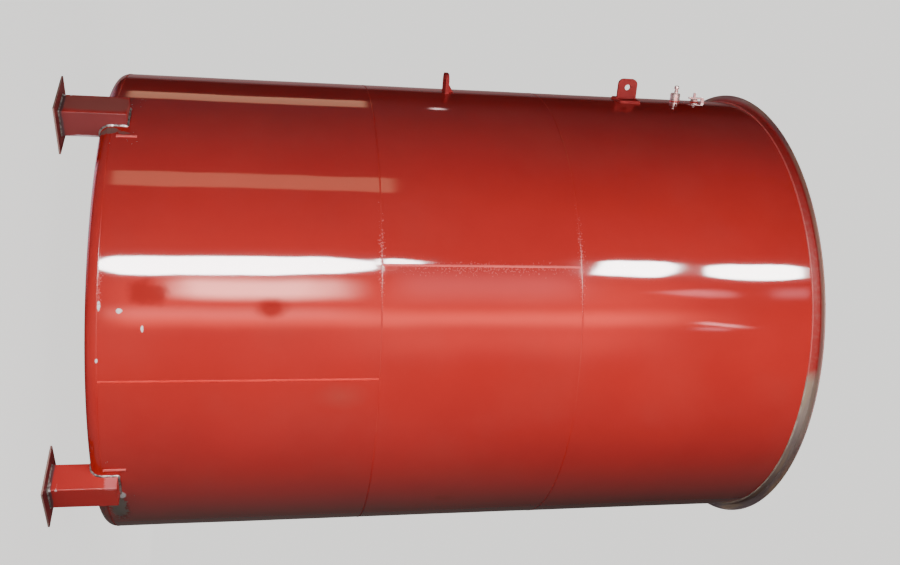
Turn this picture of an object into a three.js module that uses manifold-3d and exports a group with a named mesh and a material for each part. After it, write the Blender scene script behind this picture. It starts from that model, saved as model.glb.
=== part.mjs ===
// Vertical storage tank: a welded steel cylinder on four short box legs, with a dished
// bottom head, a curb angle round its top edge and a low conical roof.
// Millimetres, +Z up. The origin is on the floor, under the tank's axis.

import * as THREE from 'three';
import { mergeVertices } from 'three/addons/utils/BufferGeometryUtils.js';
import Module from 'manifold-3d';

const wasm = await Module();
wasm.setup();

// Driving dimensions of the shell and its two ends
const SHELL_RADIUS = 1300;
const SHELL_WALL = 6;
const COURSES = [
  { name: 'lower', height: 1325, seamAngle: -73 },
  { name: 'middle', height: 1025, seamAngle: -98 },
  { name: 'upper', height: 1330, seamAngle: -6 },
];
const HEAD_WALL = 8;
const HEAD_KNUCKLE = 60;
const HEAD_DISH = 65;
const CURB_LEG = 45;
const CURB_THICKNESS = 5;
const CURB_PARTS = 4;
const ROOF_WALL = 5;
const ROOF_BRIM = 50;
const ROOF_RISE = 150;
const ROOF_SECTORS = 4;
const COLLAR_OUTER = 270;
const COLLAR_INNER = 220;
const CROWN_RADIUS = 260;
const CROWN_WALL = 6;

// Driving dimensions of the legs
const TANK_LIFT = 255;
const LEG_ANGLES = [45, 135, 225, 315];
const LEG_SIZE = 150;
const LEG_WALL = 8;
const LEG_CORNER = 6;
const LEG_INNER_CORNER = 2;
const LEG_STAND_OUT = 70;
const LEG_OVERLAP = 66;
const LEG_CAP = 8;
const FOOT_SIZE = 280;
const FOOT_THICKNESS = 10;

// Driving dimensions of what is welded to the side: angles in degrees, levels above the shell's lower edge
const LUG_ANGLES = [201, 21];
const LIFTING_LUG = {
  level: 2907,
  width: 120,
  reach: 118,
  thickness: 18,
  eye: 66,
  eyeRadius: 18,
  corner: 34,
};
const LIFTING_PAD = { width: 160, height: 125, thickness: 14 };
const TAILING_LUG = {
  level: 1789,
  width: 110,
  reach: 112,
  thickness: 20,
  eye: 78,
  eyeRadius: 13,
  corner: 40,
};
const TAILING_GUSSET = { reach: 60, width: 36, thickness: 12 };
const SADDLE_DEPTH = 3;
const FITTING_ANGLE = 198;
const COUPLING = { level: 3254, radius: 30, length: 50 };
const NECK = { radius: 15, length: 46, offset: 4 };
const VALVE = { level: 3382, radius: 24, length: 20 };
const LEVER = { back: 36, front: 64, bar: 10, tip: 18, stemHeight: 26, stemWidth: 12, width: 18 };

// Gaps left where welds join two pieces, and how finely round pieces are stepped
const WELD_GAP = 0.3;
const LEG_NOTCH_GAP = 0.5;
const MERGE_DISTANCE = 1e-3;
const CORNER_STEPS = 8;
const PLATE_STEPS = 60;
const HEAD_STEPS = 80;
const CROWN_LINE_STEPS = 6;
const KNUCKLE_STEPS = 4;
const QUARTER_STEPS = 30;
const SMALL_STEPS = 24;
const PAD_STEPS = 4;
const CUTTER_STEPS = 180;

// Levels and radii that follow from the driving dimensions
const SHELL_TOP = COURSES.reduce((level, course) => level + course.height, TANK_LIFT);
const CURB_INNER = SHELL_RADIUS + WELD_GAP;
const CURB_OUTER = CURB_INNER + CURB_LEG;
const LEG_RADIUS = SHELL_RADIUS + LEG_STAND_OUT - LEG_SIZE / 2;
const LEG_TOP = TANK_LIFT + LEG_OVERLAP;

// Finishes
const finish = (color, roughness, metalness) =>
  new THREE.MeshStandardMaterial({ color, roughness, metalness });
const redPaint = () => finish(0xb8281f, 0.3, 0);
const rustyBrownSteel = () => finish(0x6b5b51, 0.55, 0.6);
const brightSteel = () => finish(0xb9a6a2, 0.4, 0.8);

const tank = new THREE.Group();
const radians = THREE.MathUtils.degToRad;

function addPiece(parent, name, geometry, material) {
  const mesh = new THREE.Mesh(geometry, material);
  mesh.name = name;
  parent.add(mesh);
  return mesh;
}

// A group on the tank's axis whose +X points out at the given angle.
function radialGroup(angle) {
  const group = new THREE.Group();
  group.rotation.z = radians(angle);
  tank.add(group);
  return group;
}

function toSolid(geometry) {
  const bare = geometry.clone();
  bare.deleteAttribute('normal');
  bare.deleteAttribute('uv');
  const merged = mergeVertices(bare, MERGE_DISTANCE);
  return new wasm.Manifold(new wasm.Mesh({
    numProp: 3,
    vertProperties: new Float32Array(merged.attributes.position.array),
    triVerts: new Uint32Array(merged.index.array),
  }));
}

function toGeometry(solid) {
  const mesh = solid.getMesh();
  const geometry = new THREE.BufferGeometry();
  geometry.setAttribute('position', new THREE.BufferAttribute(mesh.vertProperties, 3));
  geometry.setIndex(new THREE.BufferAttribute(mesh.triVerts, 1));
  return geometry;
}

// An outline pushed straight up by a height, its round stretches cut into the given steps.
function extruded(outline, height, steps = SMALL_STEPS) {
  return new THREE.ExtrudeGeometry(outline, {
    depth: height,
    bevelEnabled: false,
    curveSegments: steps / 2,
  });
}

// A profile of [radius, z] points turned once round the axis.
function turned(profile, steps) {
  const points = profile.map(([radius, z]) => new THREE.Vector2(radius, z));
  return new THREE.LatheGeometry([...points, points[0].clone()], steps).rotateX(Math.PI / 2);
}

// A profile of [radius, z] points turned through part of a circle, with flat ends.
function turnedSector(profile, fromAngle, toAngle, steps) {
  const count = profile.length;
  const positions = [];
  for (let step = 0; step <= steps; step += 1) {
    const angle = radians(fromAngle + ((toAngle - fromAngle) * step) / steps);
    profile.forEach(([radius, z]) => {
      positions.push(radius * Math.cos(angle), radius * Math.sin(angle), z);
    });
  }
  const index = [];
  for (let step = 0; step < steps; step += 1) {
    for (let corner = 0; corner < count; corner += 1) {
      const next = (corner + 1) % count;
      const here = step * count;
      const there = here + count;
      index.push(here + corner, there + corner, there + next);
      index.push(here + corner, there + next, here + next);
    }
  }
  const outline = profile.map(([radius, z]) => new THREE.Vector2(radius, z));
  const last = steps * count;
  THREE.ShapeUtils.triangulateShape(outline, []).forEach(([a, b, c]) => {
    index.push(a, b, c);
    index.push(last + a, last + c, last + b);
  });
  const geometry = new THREE.BufferGeometry();
  geometry.setAttribute('position', new THREE.Float32BufferAttribute(positions, 3));
  geometry.setIndex(index);
  return geometry;
}

// A bent plate between two radii and two angles, standing on z = 0.
function bentPlate(innerRadius, outerRadius, fromAngle, toAngle, height, steps) {
  const profile = [
    [innerRadius, 0],
    [outerRadius, 0],
    [outerRadius, height],
    [innerRadius, height],
  ];
  return turnedSector(profile, fromAngle, toAngle, steps);
}

// Half of the angle that a weld gap takes up on a radius.
function halfGapAngle(radius) {
  return THREE.MathUtils.radToDeg(WELD_GAP / 2 / radius);
}

// The bottom head's outer line from the axis to its upright edge at z = 0,
// moved outwards by an offset: a shallow crown arc, then a tight knuckle arc.
function headLine(offset) {
  const knuckle = HEAD_KNUCKLE + offset;
  const crownEdge = SHELL_RADIUS - HEAD_KNUCKLE;
  const crownRadius = (crownEdge ** 2 + HEAD_DISH ** 2) / (2 * HEAD_DISH);
  const crownCentre = crownRadius - HEAD_KNUCKLE - HEAD_DISH;
  const crownSlope = Math.asin(crownEdge / crownRadius);
  const line = [];
  for (let step = 0; step < CROWN_LINE_STEPS; step += 1) {
    const angle = (crownSlope * step) / CROWN_LINE_STEPS;
    const radius = crownRadius + offset;
    line.push([radius * Math.sin(angle), crownCentre - radius * Math.cos(angle)]);
  }
  for (let step = 0; step <= KNUCKLE_STEPS; step += 1) {
    const angle = (Math.PI / 2) * (step / KNUCKLE_STEPS);
    line.push([crownEdge + knuckle * Math.sin(angle), -knuckle * Math.cos(angle)]);
  }
  return line;
}

// The whole outside of the tank below the leg tops, a notch gap proud of it, to cut the legs with.
function tankEnvelope() {
  const line = headLine(LEG_NOTCH_GAP);
  line[line.length - 1][1] = 0;
  const profile = [
    ...line,
    [SHELL_RADIUS + LEG_NOTCH_GAP, LEG_SIZE * 2],
    [0, LEG_SIZE * 2],
  ];
  return toSolid(turned(profile, CUTTER_STEPS).translate(0, 0, TANK_LIFT));
}

// Three courses of two bent plates each, with the upright seams turned from course to course.
function makeShell() {
  const half = halfGapAngle(SHELL_RADIUS);
  let level = TANK_LIFT;
  COURSES.forEach(({ name, height, seamAngle }) => {
    ['right', 'left'].forEach((side, index) => {
      const from = seamAngle + 180 * index;
      const geometry = bentPlate(
        SHELL_RADIUS - SHELL_WALL,
        SHELL_RADIUS,
        from + half,
        from + 180 - half,
        height,
        PLATE_STEPS,
      );
      addPiece(tank, `${name}_course_${side}_plate`, geometry, redPaint()).position.z = level;
    });
    level += height;
  });
}

function makeBottomHead() {
  const inside = headLine(-HEAD_WALL).reverse();
  const geometry = turned([...headLine(0), ...inside], HEAD_STEPS);
  addPiece(tank, 'bottom_head', geometry, redPaint()).position.z = TANK_LIFT;
}

// The curb angle: one leg upright against the shell, the other standing out at the top.
function makeCurbAngle() {
  const upright = CURB_INNER + CURB_THICKNESS;
  const profile = [
    [CURB_INNER, -CURB_LEG],
    [upright, -CURB_LEG],
    [upright, -CURB_THICKNESS],
    [CURB_OUTER, -CURB_THICKNESS],
    [CURB_OUTER, 0],
    [CURB_INNER, 0],
  ];
  const span = 360 / CURB_PARTS;
  const half = halfGapAngle(SHELL_RADIUS);
  for (let part = 0; part < CURB_PARTS; part += 1) {
    const from = COURSES[2].seamAngle + span * (part + 0.5);
    const geometry = turnedSector(profile, from + half, from + span - half, QUARTER_STEPS);
    addPiece(tank, `curb_angle_${part + 1}`, geometry, rustyBrownSteel()).position.z = SHELL_TOP;
  }
}

// The roof: sectors with a flat brim, a low cone and a flat collar under a round crown plate.
function makeRoof() {
  const brimOuter = CURB_OUTER - CURB_THICKNESS;
  const brimInner = brimOuter - ROOF_BRIM;
  const under = [
    [COLLAR_INNER, ROOF_RISE],
    [COLLAR_OUTER, ROOF_RISE],
    [brimInner, 0],
    [brimOuter, 0],
  ];
  const over = under.map(([radius, z]) => [radius, z + ROOF_WALL]).reverse();
  const span = 360 / ROOF_SECTORS;
  const half = halfGapAngle(COLLAR_INNER);
  for (let sector = 0; sector < ROOF_SECTORS; sector += 1) {
    const from = span * sector;
    const geometry = turnedSector([...under, ...over], from + half, from + span - half, QUARTER_STEPS);
    addPiece(tank, `roof_sector_${sector + 1}`, geometry, redPaint()).position.z = SHELL_TOP;
  }
  const disc = new THREE.Shape().absarc(0, 0, CROWN_RADIUS, 0, Math.PI * 2, false);
  const crown = addPiece(tank, 'roof_crown_plate', extruded(disc, CROWN_WALL, PLATE_STEPS), redPaint());
  crown.position.z = SHELL_TOP + ROOF_RISE + ROOF_WALL;
}

function squareWithRoundCorners(path, halfSide, corner) {
  const inner = halfSide - corner;
  path.moveTo(halfSide, -inner);
  path.lineTo(halfSide, inner);
  path.absarc(inner, inner, corner, 0, Math.PI / 2, false);
  path.lineTo(-inner, halfSide);
  path.absarc(-inner, inner, corner, Math.PI / 2, Math.PI, false);
  path.lineTo(-halfSide, -inner);
  path.absarc(-inner, -inner, corner, Math.PI, Math.PI * 1.5, false);
  path.lineTo(inner, -halfSide);
  path.absarc(inner, -inner, corner, Math.PI * 1.5, Math.PI * 2, false);
  return path;
}

// A leg: a welded box stub notched round the tank's bottom corner, its foot plate and the
// cap plate that closes what stands outside the shell.
function makeLeg(number, angle, envelope) {
  const group = radialGroup(angle);
  const section = squareWithRoundCorners(new THREE.Shape(), LEG_SIZE / 2, LEG_CORNER);
  section.holes.push(squareWithRoundCorners(new THREE.Path(), LEG_SIZE / 2 - LEG_WALL, LEG_INNER_CORNER));
  const stub = extruded(section, LEG_TOP - FOOT_THICKNESS, CORNER_STEPS);
  stub.translate(LEG_RADIUS, 0, FOOT_THICKNESS);
  addPiece(group, `leg_${number}_box`, toGeometry(toSolid(stub).subtract(envelope)), redPaint());

  const capOutline = squareWithRoundCorners(new THREE.Shape(), LEG_SIZE / 2, LEG_CORNER);
  const cap = extruded(capOutline, LEG_CAP, CORNER_STEPS).translate(LEG_RADIUS, 0, LEG_TOP);
  addPiece(group, `leg_${number}_cap`, toGeometry(toSolid(cap).subtract(envelope)), rustyBrownSteel());

  const foot = new THREE.BoxGeometry(FOOT_SIZE, FOOT_SIZE, FOOT_THICKNESS);
  foot.translate(LEG_RADIUS, 0, FOOT_THICKNESS / 2);
  addPiece(group, `leg_${number}_foot_plate`, foot, redPaint());
}

// A lug outline standing out along +X from zero, as wide as given along Y, with rounded
// shoulders and a round eye.
function lugOutline({ width, reach, corner, eye, eyeRadius }) {
  const half = width / 2;
  const outline = new THREE.Shape();
  outline.moveTo(0, -half);
  outline.lineTo(reach - corner, -half);
  outline.absarc(reach - corner, -half + corner, corner, -Math.PI / 2, 0, false);
  outline.lineTo(reach, half - corner);
  outline.absarc(reach - corner, half - corner, corner, 0, Math.PI / 2, false);
  outline.lineTo(0, half);
  outline.closePath();
  outline.holes.push(new THREE.Path().absarc(eye, 0, eyeRadius, 0, Math.PI * 2, true));
  return outline;
}

// A lifting lug: an upright eye plate on a bent doubler pad.
function makeLiftingLug(number, angle) {
  const group = radialGroup(angle);
  const level = TANK_LIFT + LIFTING_LUG.level;
  const padInner = SHELL_RADIUS + WELD_GAP;
  const padOuter = padInner + LIFTING_PAD.thickness;
  const padHalf = THREE.MathUtils.radToDeg(LIFTING_PAD.width / 2 / padInner);
  const pad = bentPlate(padInner, padOuter, -padHalf, padHalf, LIFTING_PAD.height, PAD_STEPS);
  pad.translate(0, 0, level - LIFTING_PAD.height / 2);
  addPiece(group, `lifting_lug_${number}_pad`, pad, redPaint());

  const plate = extruded(lugOutline(LIFTING_LUG), LIFTING_LUG.thickness);
  plate.rotateX(Math.PI / 2).translate(padOuter + WELD_GAP, LIFTING_LUG.thickness / 2, level);
  addPiece(group, `lifting_lug_${number}_plate`, plate, redPaint());
}

// A tailing lug: an eye plate lying across the axis, its root cut to the shell's curve, with a
// gusset on its upper side.
function makeTailingLug(number, angle) {
  const group = radialGroup(angle);
  const level = TANK_LIFT + TAILING_LUG.level;
  const base = SHELL_RADIUS + WELD_GAP;
  const uncut = {
    ...TAILING_LUG,
    reach: TAILING_LUG.reach + SADDLE_DEPTH,
    eye: TAILING_LUG.eye + SADDLE_DEPTH,
  };
  const plate = extruded(lugOutline(uncut), TAILING_LUG.thickness);
  plate.translate(base - SADDLE_DEPTH, 0, level - TAILING_LUG.thickness / 2);
  const trimmed = toSolid(plate).subtract(envelopeSleeve(level));
  addPiece(group, `tailing_lug_${number}_plate`, toGeometry(trimmed), redPaint());

  const outline = new THREE.Shape();
  outline.moveTo(0, 0);
  outline.lineTo(TAILING_GUSSET.reach, 0);
  outline.lineTo(0, TAILING_GUSSET.width);
  outline.closePath();
  const gusset = extruded(outline, TAILING_GUSSET.thickness);
  gusset.rotateX(Math.PI / 2);
  gusset.translate(base, TAILING_GUSSET.thickness / 2, level + TAILING_LUG.thickness / 2 + WELD_GAP);
  addPiece(group, `tailing_lug_${number}_gusset`, gusset, redPaint());
}

// A short stretch of the shell's outside, a weld gap proud of it, round the given level.
function envelopeSleeve(level) {
  const radius = SHELL_RADIUS + WELD_GAP;
  const reach = TAILING_LUG.width;
  const profile = [[0, -reach], [radius, -reach], [radius, reach], [0, reach]];
  return toSolid(turned(profile, CUTTER_STEPS).translate(0, 0, level));
}

// A round closed fitting standing out along +X, its outer rim chamfered.
function roundFitting(radius, length) {
  const chamfer = radius / 6;
  const profile = [
    [0, 0],
    [radius, 0],
    [radius, length - chamfer],
    [radius - chamfer, length],
    [0, length],
  ];
  return turned(profile, SMALL_STEPS).rotateY(Math.PI / 2);
}

// A closed coupling near the roof, with a slim neck on its upper half.
function makeCoupling() {
  const group = radialGroup(FITTING_ANGLE);
  const level = TANK_LIFT + COUPLING.level;
  const base = SHELL_RADIUS + WELD_GAP;
  const body = roundFitting(COUPLING.radius, COUPLING.length).translate(base, 0, level);
  addPiece(group, 'side_coupling', body, brightSteel());
  const neckBase = base + COUPLING.length + WELD_GAP;
  const neck = roundFitting(NECK.radius, NECK.length);
  neck.translate(neckBase, 0, level + NECK.offset);
  addPiece(group, 'side_coupling_neck', neck, brightSteel());
}

// A small valve beside the coupling: a round body and a lever bar bent down at its thicker tip.
function makeValve() {
  const group = radialGroup(FITTING_ANGLE);
  const level = TANK_LIFT + VALVE.level;
  const base = SHELL_RADIUS + WELD_GAP;
  const body = roundFitting(VALVE.radius, VALVE.length).translate(base, 0, level);
  addPiece(group, 'side_valve_body', body, brightSteel());

  const { back, front, bar, tip, stemHeight, stemWidth, width } = LEVER;
  const outline = new THREE.Shape();
  outline.moveTo(0, -back);
  outline.lineTo(0, front - tip);
  outline.lineTo(-VALVE.length, front - tip);
  outline.lineTo(-VALVE.length, front);
  outline.lineTo(0, front);
  outline.absarc(0, front - bar, bar, Math.PI / 2, 0, true);
  outline.lineTo(bar, stemWidth / 2);
  outline.lineTo(bar + stemHeight, stemWidth / 2);
  outline.lineTo(bar + stemHeight, -stemWidth / 2);
  outline.lineTo(bar, -stemWidth / 2);
  outline.lineTo(bar, -back);
  outline.closePath();
  const lever = extruded(outline, width, CORNER_STEPS);
  lever.rotateX(Math.PI / 2).translate(base + VALVE.length + WELD_GAP, width / 2, level);
  addPiece(group, 'side_valve_lever', lever, brightSteel());
}

makeShell();
makeBottomHead();
makeCurbAngle();
makeRoof();
const envelope = tankEnvelope();
LEG_ANGLES.forEach((angle, index) => makeLeg(index + 1, angle, envelope));
LUG_ANGLES.forEach((angle, index) => {
  makeLiftingLug(index + 1, angle);
  makeTailingLug(index + 1, angle);
});
makeCoupling();
makeValve();

export default tank;
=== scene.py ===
"""Looks of an upright welded steel storage tank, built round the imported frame.

Lengths are in metres and angles in degrees, unless a name says otherwise. The tank stands on its
legs with +Z up. Angles turn about its axis from +X towards +Y, and levels are heights above the floor.
"""

import logging
import math
from collections.abc import Callable, Sequence
from dataclasses import dataclass, field
from enum import Enum
from typing import Any

import bmesh
import bpy
import numpy as np
from mathutils import Matrix, Vector

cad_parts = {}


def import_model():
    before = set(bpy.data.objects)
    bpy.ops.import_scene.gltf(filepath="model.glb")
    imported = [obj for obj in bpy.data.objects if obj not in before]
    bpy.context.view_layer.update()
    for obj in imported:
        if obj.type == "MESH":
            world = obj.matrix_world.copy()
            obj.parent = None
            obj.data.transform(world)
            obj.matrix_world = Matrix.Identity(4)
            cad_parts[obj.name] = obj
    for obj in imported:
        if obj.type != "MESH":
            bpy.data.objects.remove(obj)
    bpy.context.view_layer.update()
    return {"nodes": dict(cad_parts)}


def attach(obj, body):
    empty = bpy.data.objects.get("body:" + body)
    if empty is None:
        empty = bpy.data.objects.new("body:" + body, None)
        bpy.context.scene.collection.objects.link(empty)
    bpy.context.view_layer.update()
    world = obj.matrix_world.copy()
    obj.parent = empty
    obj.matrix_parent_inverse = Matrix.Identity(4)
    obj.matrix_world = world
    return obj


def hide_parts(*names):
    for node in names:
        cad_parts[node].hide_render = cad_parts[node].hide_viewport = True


LOG = logging.getLogger("storage_tank")
BODY = "root"
SHARP_EDGE = math.radians(32)
SHARP_CORNER = math.radians(50)
FLAT_ANGLE = math.radians(0.5)
MERGE_DISTANCE = 1e-5
POINT_DISTANCE = 1e-6
ON_AXIS = 1e-9
FULL_TURN = 360.0
SAME_ANGLE = 1e-6
BY_FACE_SIZE_ALONE = 100
UP = Vector((0.0, 0.0, 1.0))
Colour = tuple[float, float, float]


class Slot(Enum):
    """The record's finishes."""

    RED_PAINT = "red_paint"
    BROWN_STEEL = "brown_steel"
    BRIGHT_STEEL = "bright_steel"


# Node wiring


class Wiring:
    """Adds nodes to one node tree and joins them."""

    def __init__(self, tree: bpy.types.NodeTree) -> None:
        """Keeps the tree that the nodes go into.

        Args:
            tree: A shader, world or geometry node tree.
        """
        self.tree = tree

    def feed(self, socket: bpy.types.NodeSocket, value: Any) -> None:
        """Links a socket to another one, or sets its own value.

        Args:
            socket: The input to fill.
            value: An output socket, or a plain value.
        """
        if isinstance(value, bpy.types.NodeSocket):
            self.tree.links.new(value, socket)
        elif value is not None:
            socket.default_value = value

    def node(self, kind: str, inputs: dict[Any, Any] | None = None, **settings: Any) -> bpy.types.Node:
        """Adds one node.

        Args:
            kind: The node's Blender type name.
            inputs: Values or links by the input's name or number.
            settings: Properties of the node itself.

        Returns:
            The new node.
        """
        made = self.tree.nodes.new(kind)
        for name, value in settings.items():
            setattr(made, name, value)
        for key, value in (inputs or {}).items():
            self.feed(made.inputs[key], value)
        return made

    def math(self, operation: str, *values: Any, clamp: bool = False) -> bpy.types.NodeSocket:
        """Adds a Math node.

        Args:
            operation: Its operation, such as MULTIPLY.
            values: One to three numbers or sockets.
            clamp: Whether the result is kept from 0 to 1.

        Returns:
            The result.
        """
        made = self.node("ShaderNodeMath", dict(enumerate(values)), operation=operation, use_clamp=clamp)
        return made.outputs[0]

    def length(self, x: Any, y: Any) -> bpy.types.NodeSocket:
        """Works out the length of a flat vector.

        Args:
            x: Its first part.
            y: Its second part.

        Returns:
            The length.
        """
        squares = self.math("ADD", self.math("MULTIPLY", x, x), self.math("MULTIPLY", y, y))
        return self.math("SQRT", squares)

    def combine(self, x: Any, y: Any, z: Any) -> bpy.types.NodeSocket:
        """Joins three numbers into one vector.

        Args:
            x: The first part.
            y: The second part.
            z: The third part.

        Returns:
            The vector.
        """
        return self.node("ShaderNodeCombineXYZ", {0: x, 1: y, 2: z}).outputs[0]

    def split(self, vector: Any) -> tuple[bpy.types.NodeSocket, ...]:
        """Parts a vector into its three numbers.

        Args:
            vector: The vector.

        Returns:
            Its X, Y and Z.
        """
        return tuple(self.node("ShaderNodeSeparateXYZ", {0: vector}).outputs)

    def noise(self, vector: Any, scale: float, detail: float = 2.0,
              seed: float = 0.0) -> bpy.types.NodeSocket:
        """Adds a four-dimensional noise, so that a seed gives a pattern of its own.

        Args:
            vector: Where it is read.
            scale: Features per metre.
            detail: How many finer layers it has.
            seed: The number of the pattern.

        Returns:
            The noise, from 0 to 1.
        """
        inputs = {"Vector": vector, "W": seed, "Scale": scale, "Detail": detail}
        return self.node("ShaderNodeTexNoise", inputs, noise_dimensions="4D").outputs[0]

    def ramp(self, value: Any, low: float, high: float, start: float = 0.0,
             end: float = 1.0) -> bpy.types.NodeSocket:
        """Maps a value smoothly from one range to another.

        Args:
            value: What is mapped.
            low: Where the change begins.
            high: Where the change ends.
            start: The result at and before low.
            end: The result at and past high.

        Returns:
            The mapped value.
        """
        inputs = {0: value, 1: low, 2: high, 3: start, 4: end}
        return self.node("ShaderNodeMapRange", inputs, interpolation_type="SMOOTHSTEP").outputs[0]

    def blend(self, share: Any, first: Any, second: Any) -> bpy.types.NodeSocket:
        """Mixes two colours.

        Args:
            share: How much of the second, from 0 to 1.
            first: A colour or a socket.
            second: A colour or a socket.

        Returns:
            The mixed colour.
        """
        made = self.node("ShaderNodeMix", data_type="RGBA")
        for key, value in ((0, share), (6, first), (7, second)):
            self.feed(made.inputs[key], value)
        return made.outputs[2]

    def stops(self, value: Any, stops: Sequence[tuple[float, Colour]]) -> bpy.types.NodeSocket:
        """Runs a value through a colour ramp.

        Args:
            value: What is looked up, from 0 to 1.
            stops: Place and colour of each stop, in order.

        Returns:
            The colour.
        """
        made = self.node("ShaderNodeValToRGB", {0: value})
        elements = made.color_ramp.elements
        for number, (place, colour) in enumerate(stops):
            element = elements[number] if number < len(elements) else elements.new(place)
            element.position = place
            element.color = (*colour, 1)
        return made.outputs[0]


def shader_group(name: str, inputs: Sequence[tuple[str, str, Any]], outputs: Sequence[tuple[str, str]],
                 build: Callable[[Wiring, Any, Any], None]) -> bpy.types.NodeTree:
    """Makes a shader node group once, or returns the one that is there.

    Args:
        name: The group's name.
        inputs: Name, socket kind and first value of each input.
        outputs: Name and socket kind of each output.
        build: Wires the group, given its wiring, its input sockets and its output sockets.

    Returns:
        The group.
    """
    found = bpy.data.node_groups.get(name)
    if found is not None:
        return found
    tree = bpy.data.node_groups.new(name, "ShaderNodeTree")
    for label, kind, value in inputs:
        socket = tree.interface.new_socket(name=label, in_out="INPUT", socket_type=kind)
        if value is not None:
            socket.default_value = value
    for label, kind in outputs:
        tree.interface.new_socket(name=label, in_out="OUTPUT", socket_type=kind)
    wiring = Wiring(tree)
    build(wiring, wiring.node("NodeGroupInput").outputs, wiring.node("NodeGroupOutput").inputs)
    return tree


def use_group(wiring: Wiring, group: bpy.types.NodeTree, inputs: dict[str, Any]) -> bpy.types.Node:
    """Places a shader group in a material.

    Args:
        wiring: The material's wiring.
        group: The group.
        inputs: Values or links by input name.

    Returns:
        The group's node.
    """
    made = wiring.tree.nodes.new("ShaderNodeGroup")
    made.node_tree = group
    for key, value in inputs.items():
        wiring.feed(made.inputs[key], value)
    return made


FLOAT = "NodeSocketFloat"
INTEGER = "NodeSocketInt"
COLOUR = "NodeSocketColor"
VECTOR = "NodeSocketVector"


def round_tank_group() -> bpy.types.NodeTree:
    """Gives each point's angle, radius and level on the tank, from its Object coordinates.

    Returns:
        The group.
    """

    def build(wiring: Wiring, given: Any, result: Any) -> None:
        """Wires the group.

        Args:
            wiring: The group's wiring.
            given: Its inputs.
            result: Its outputs.
        """
        x, y, z = wiring.split(given["Position"])
        turn = wiring.math("ARCTAN2", y, x)
        wiring.feed(result["Angle"], wiring.math("DEGREES", turn))
        wiring.feed(result["Radius"], wiring.length(x, y))
        wiring.feed(result["Level"], z)

    return shader_group("round_tank", [("Position", VECTOR, None)],
                        [("Angle", FLOAT), ("Radius", FLOAT), ("Level", FLOAT)], build)


def patch_group() -> bpy.types.NodeTree:
    """Masks one ragged patch at an angle and level on the tank.

    Returns:
        The group.
    """

    def build(wiring: Wiring, given: Any, result: Any) -> None:
        """Wires the group.

        Args:
            wiring: The group's wiring.
            given: Its inputs.
            result: Its outputs.
        """
        turn = wiring.math("SUBTRACT", given["Angle"], given["Centre Angle"])
        wrapped = wiring.math("WRAP", turn, 180.0, -180.0)
        across = wiring.math("MULTIPLY", wiring.math("RADIANS", wrapped), given["Radius"])
        along = wiring.math("SUBTRACT", given["Level"], given["Centre Level"])
        side = wiring.math("DIVIDE", across, given["Half Width"])
        rise = wiring.math("DIVIDE", along, given["Half Height"])
        rough = wiring.noise(given["Position"], scale=1.0, detail=3.0)
        wiring.feed(rough.node.inputs["Scale"], given["Grain"])
        thinned = wiring.math("ADD", wiring.length(side, rise), given["Sparse"])
        shifted = wiring.math("MULTIPLY_ADD", wiring.math("SUBTRACT", rough, 0.5), given["Ragged"], thinned)
        inside = wiring.math("DIVIDE", wiring.math("SUBTRACT", 1.0, shifted), given["Softness"], clamp=True)
        wiring.feed(result["Mask"], wiring.math("SMOOTH_MIN", inside, 1.0, 0.1))

    inputs = [("Position", VECTOR, None), ("Angle", FLOAT, 0.0), ("Radius", FLOAT, 1.3),
              ("Level", FLOAT, 0.0), ("Centre Angle", FLOAT, 0.0), ("Centre Level", FLOAT, 1.0),
              ("Half Width", FLOAT, 0.05), ("Half Height", FLOAT, 0.05), ("Ragged", FLOAT, 0.6),
              ("Grain", FLOAT, 30.0), ("Softness", FLOAT, 0.3), ("Sparse", FLOAT, 0.0)]
    return shader_group("ragged_patch", inputs, [("Mask", FLOAT)], build)


def film_group() -> bpy.types.NodeTree:
    """Masks the thin film of shop dust that settles in clouds and specks.

    Returns:
        The group.
    """

    def build(wiring: Wiring, given: Any, result: Any) -> None:
        """Wires the group.

        Args:
            wiring: The group's wiring.
            given: Its inputs.
            result: Its outputs.
        """
        speck_share = 0.35
        clouds = wiring.noise(given["Position"], scale=2.2, detail=6.0, seed=3.1)
        specks = wiring.noise(given["Position"], scale=95.0, detail=2.0, seed=7.7)
        cloudy = wiring.ramp(clouds, low=0.42, high=0.75)
        speckled = wiring.ramp(specks, low=0.62, high=0.72)
        both = wiring.math("MULTIPLY_ADD", speckled, speck_share, cloudy)
        wiring.feed(result["Mask"], wiring.math("MULTIPLY", both, given["Amount"], clamp=True))

    return shader_group("dust_film", [("Position", VECTOR, None), ("Amount", FLOAT, 0.1)],
                        [("Mask", FLOAT)], build)


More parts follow.
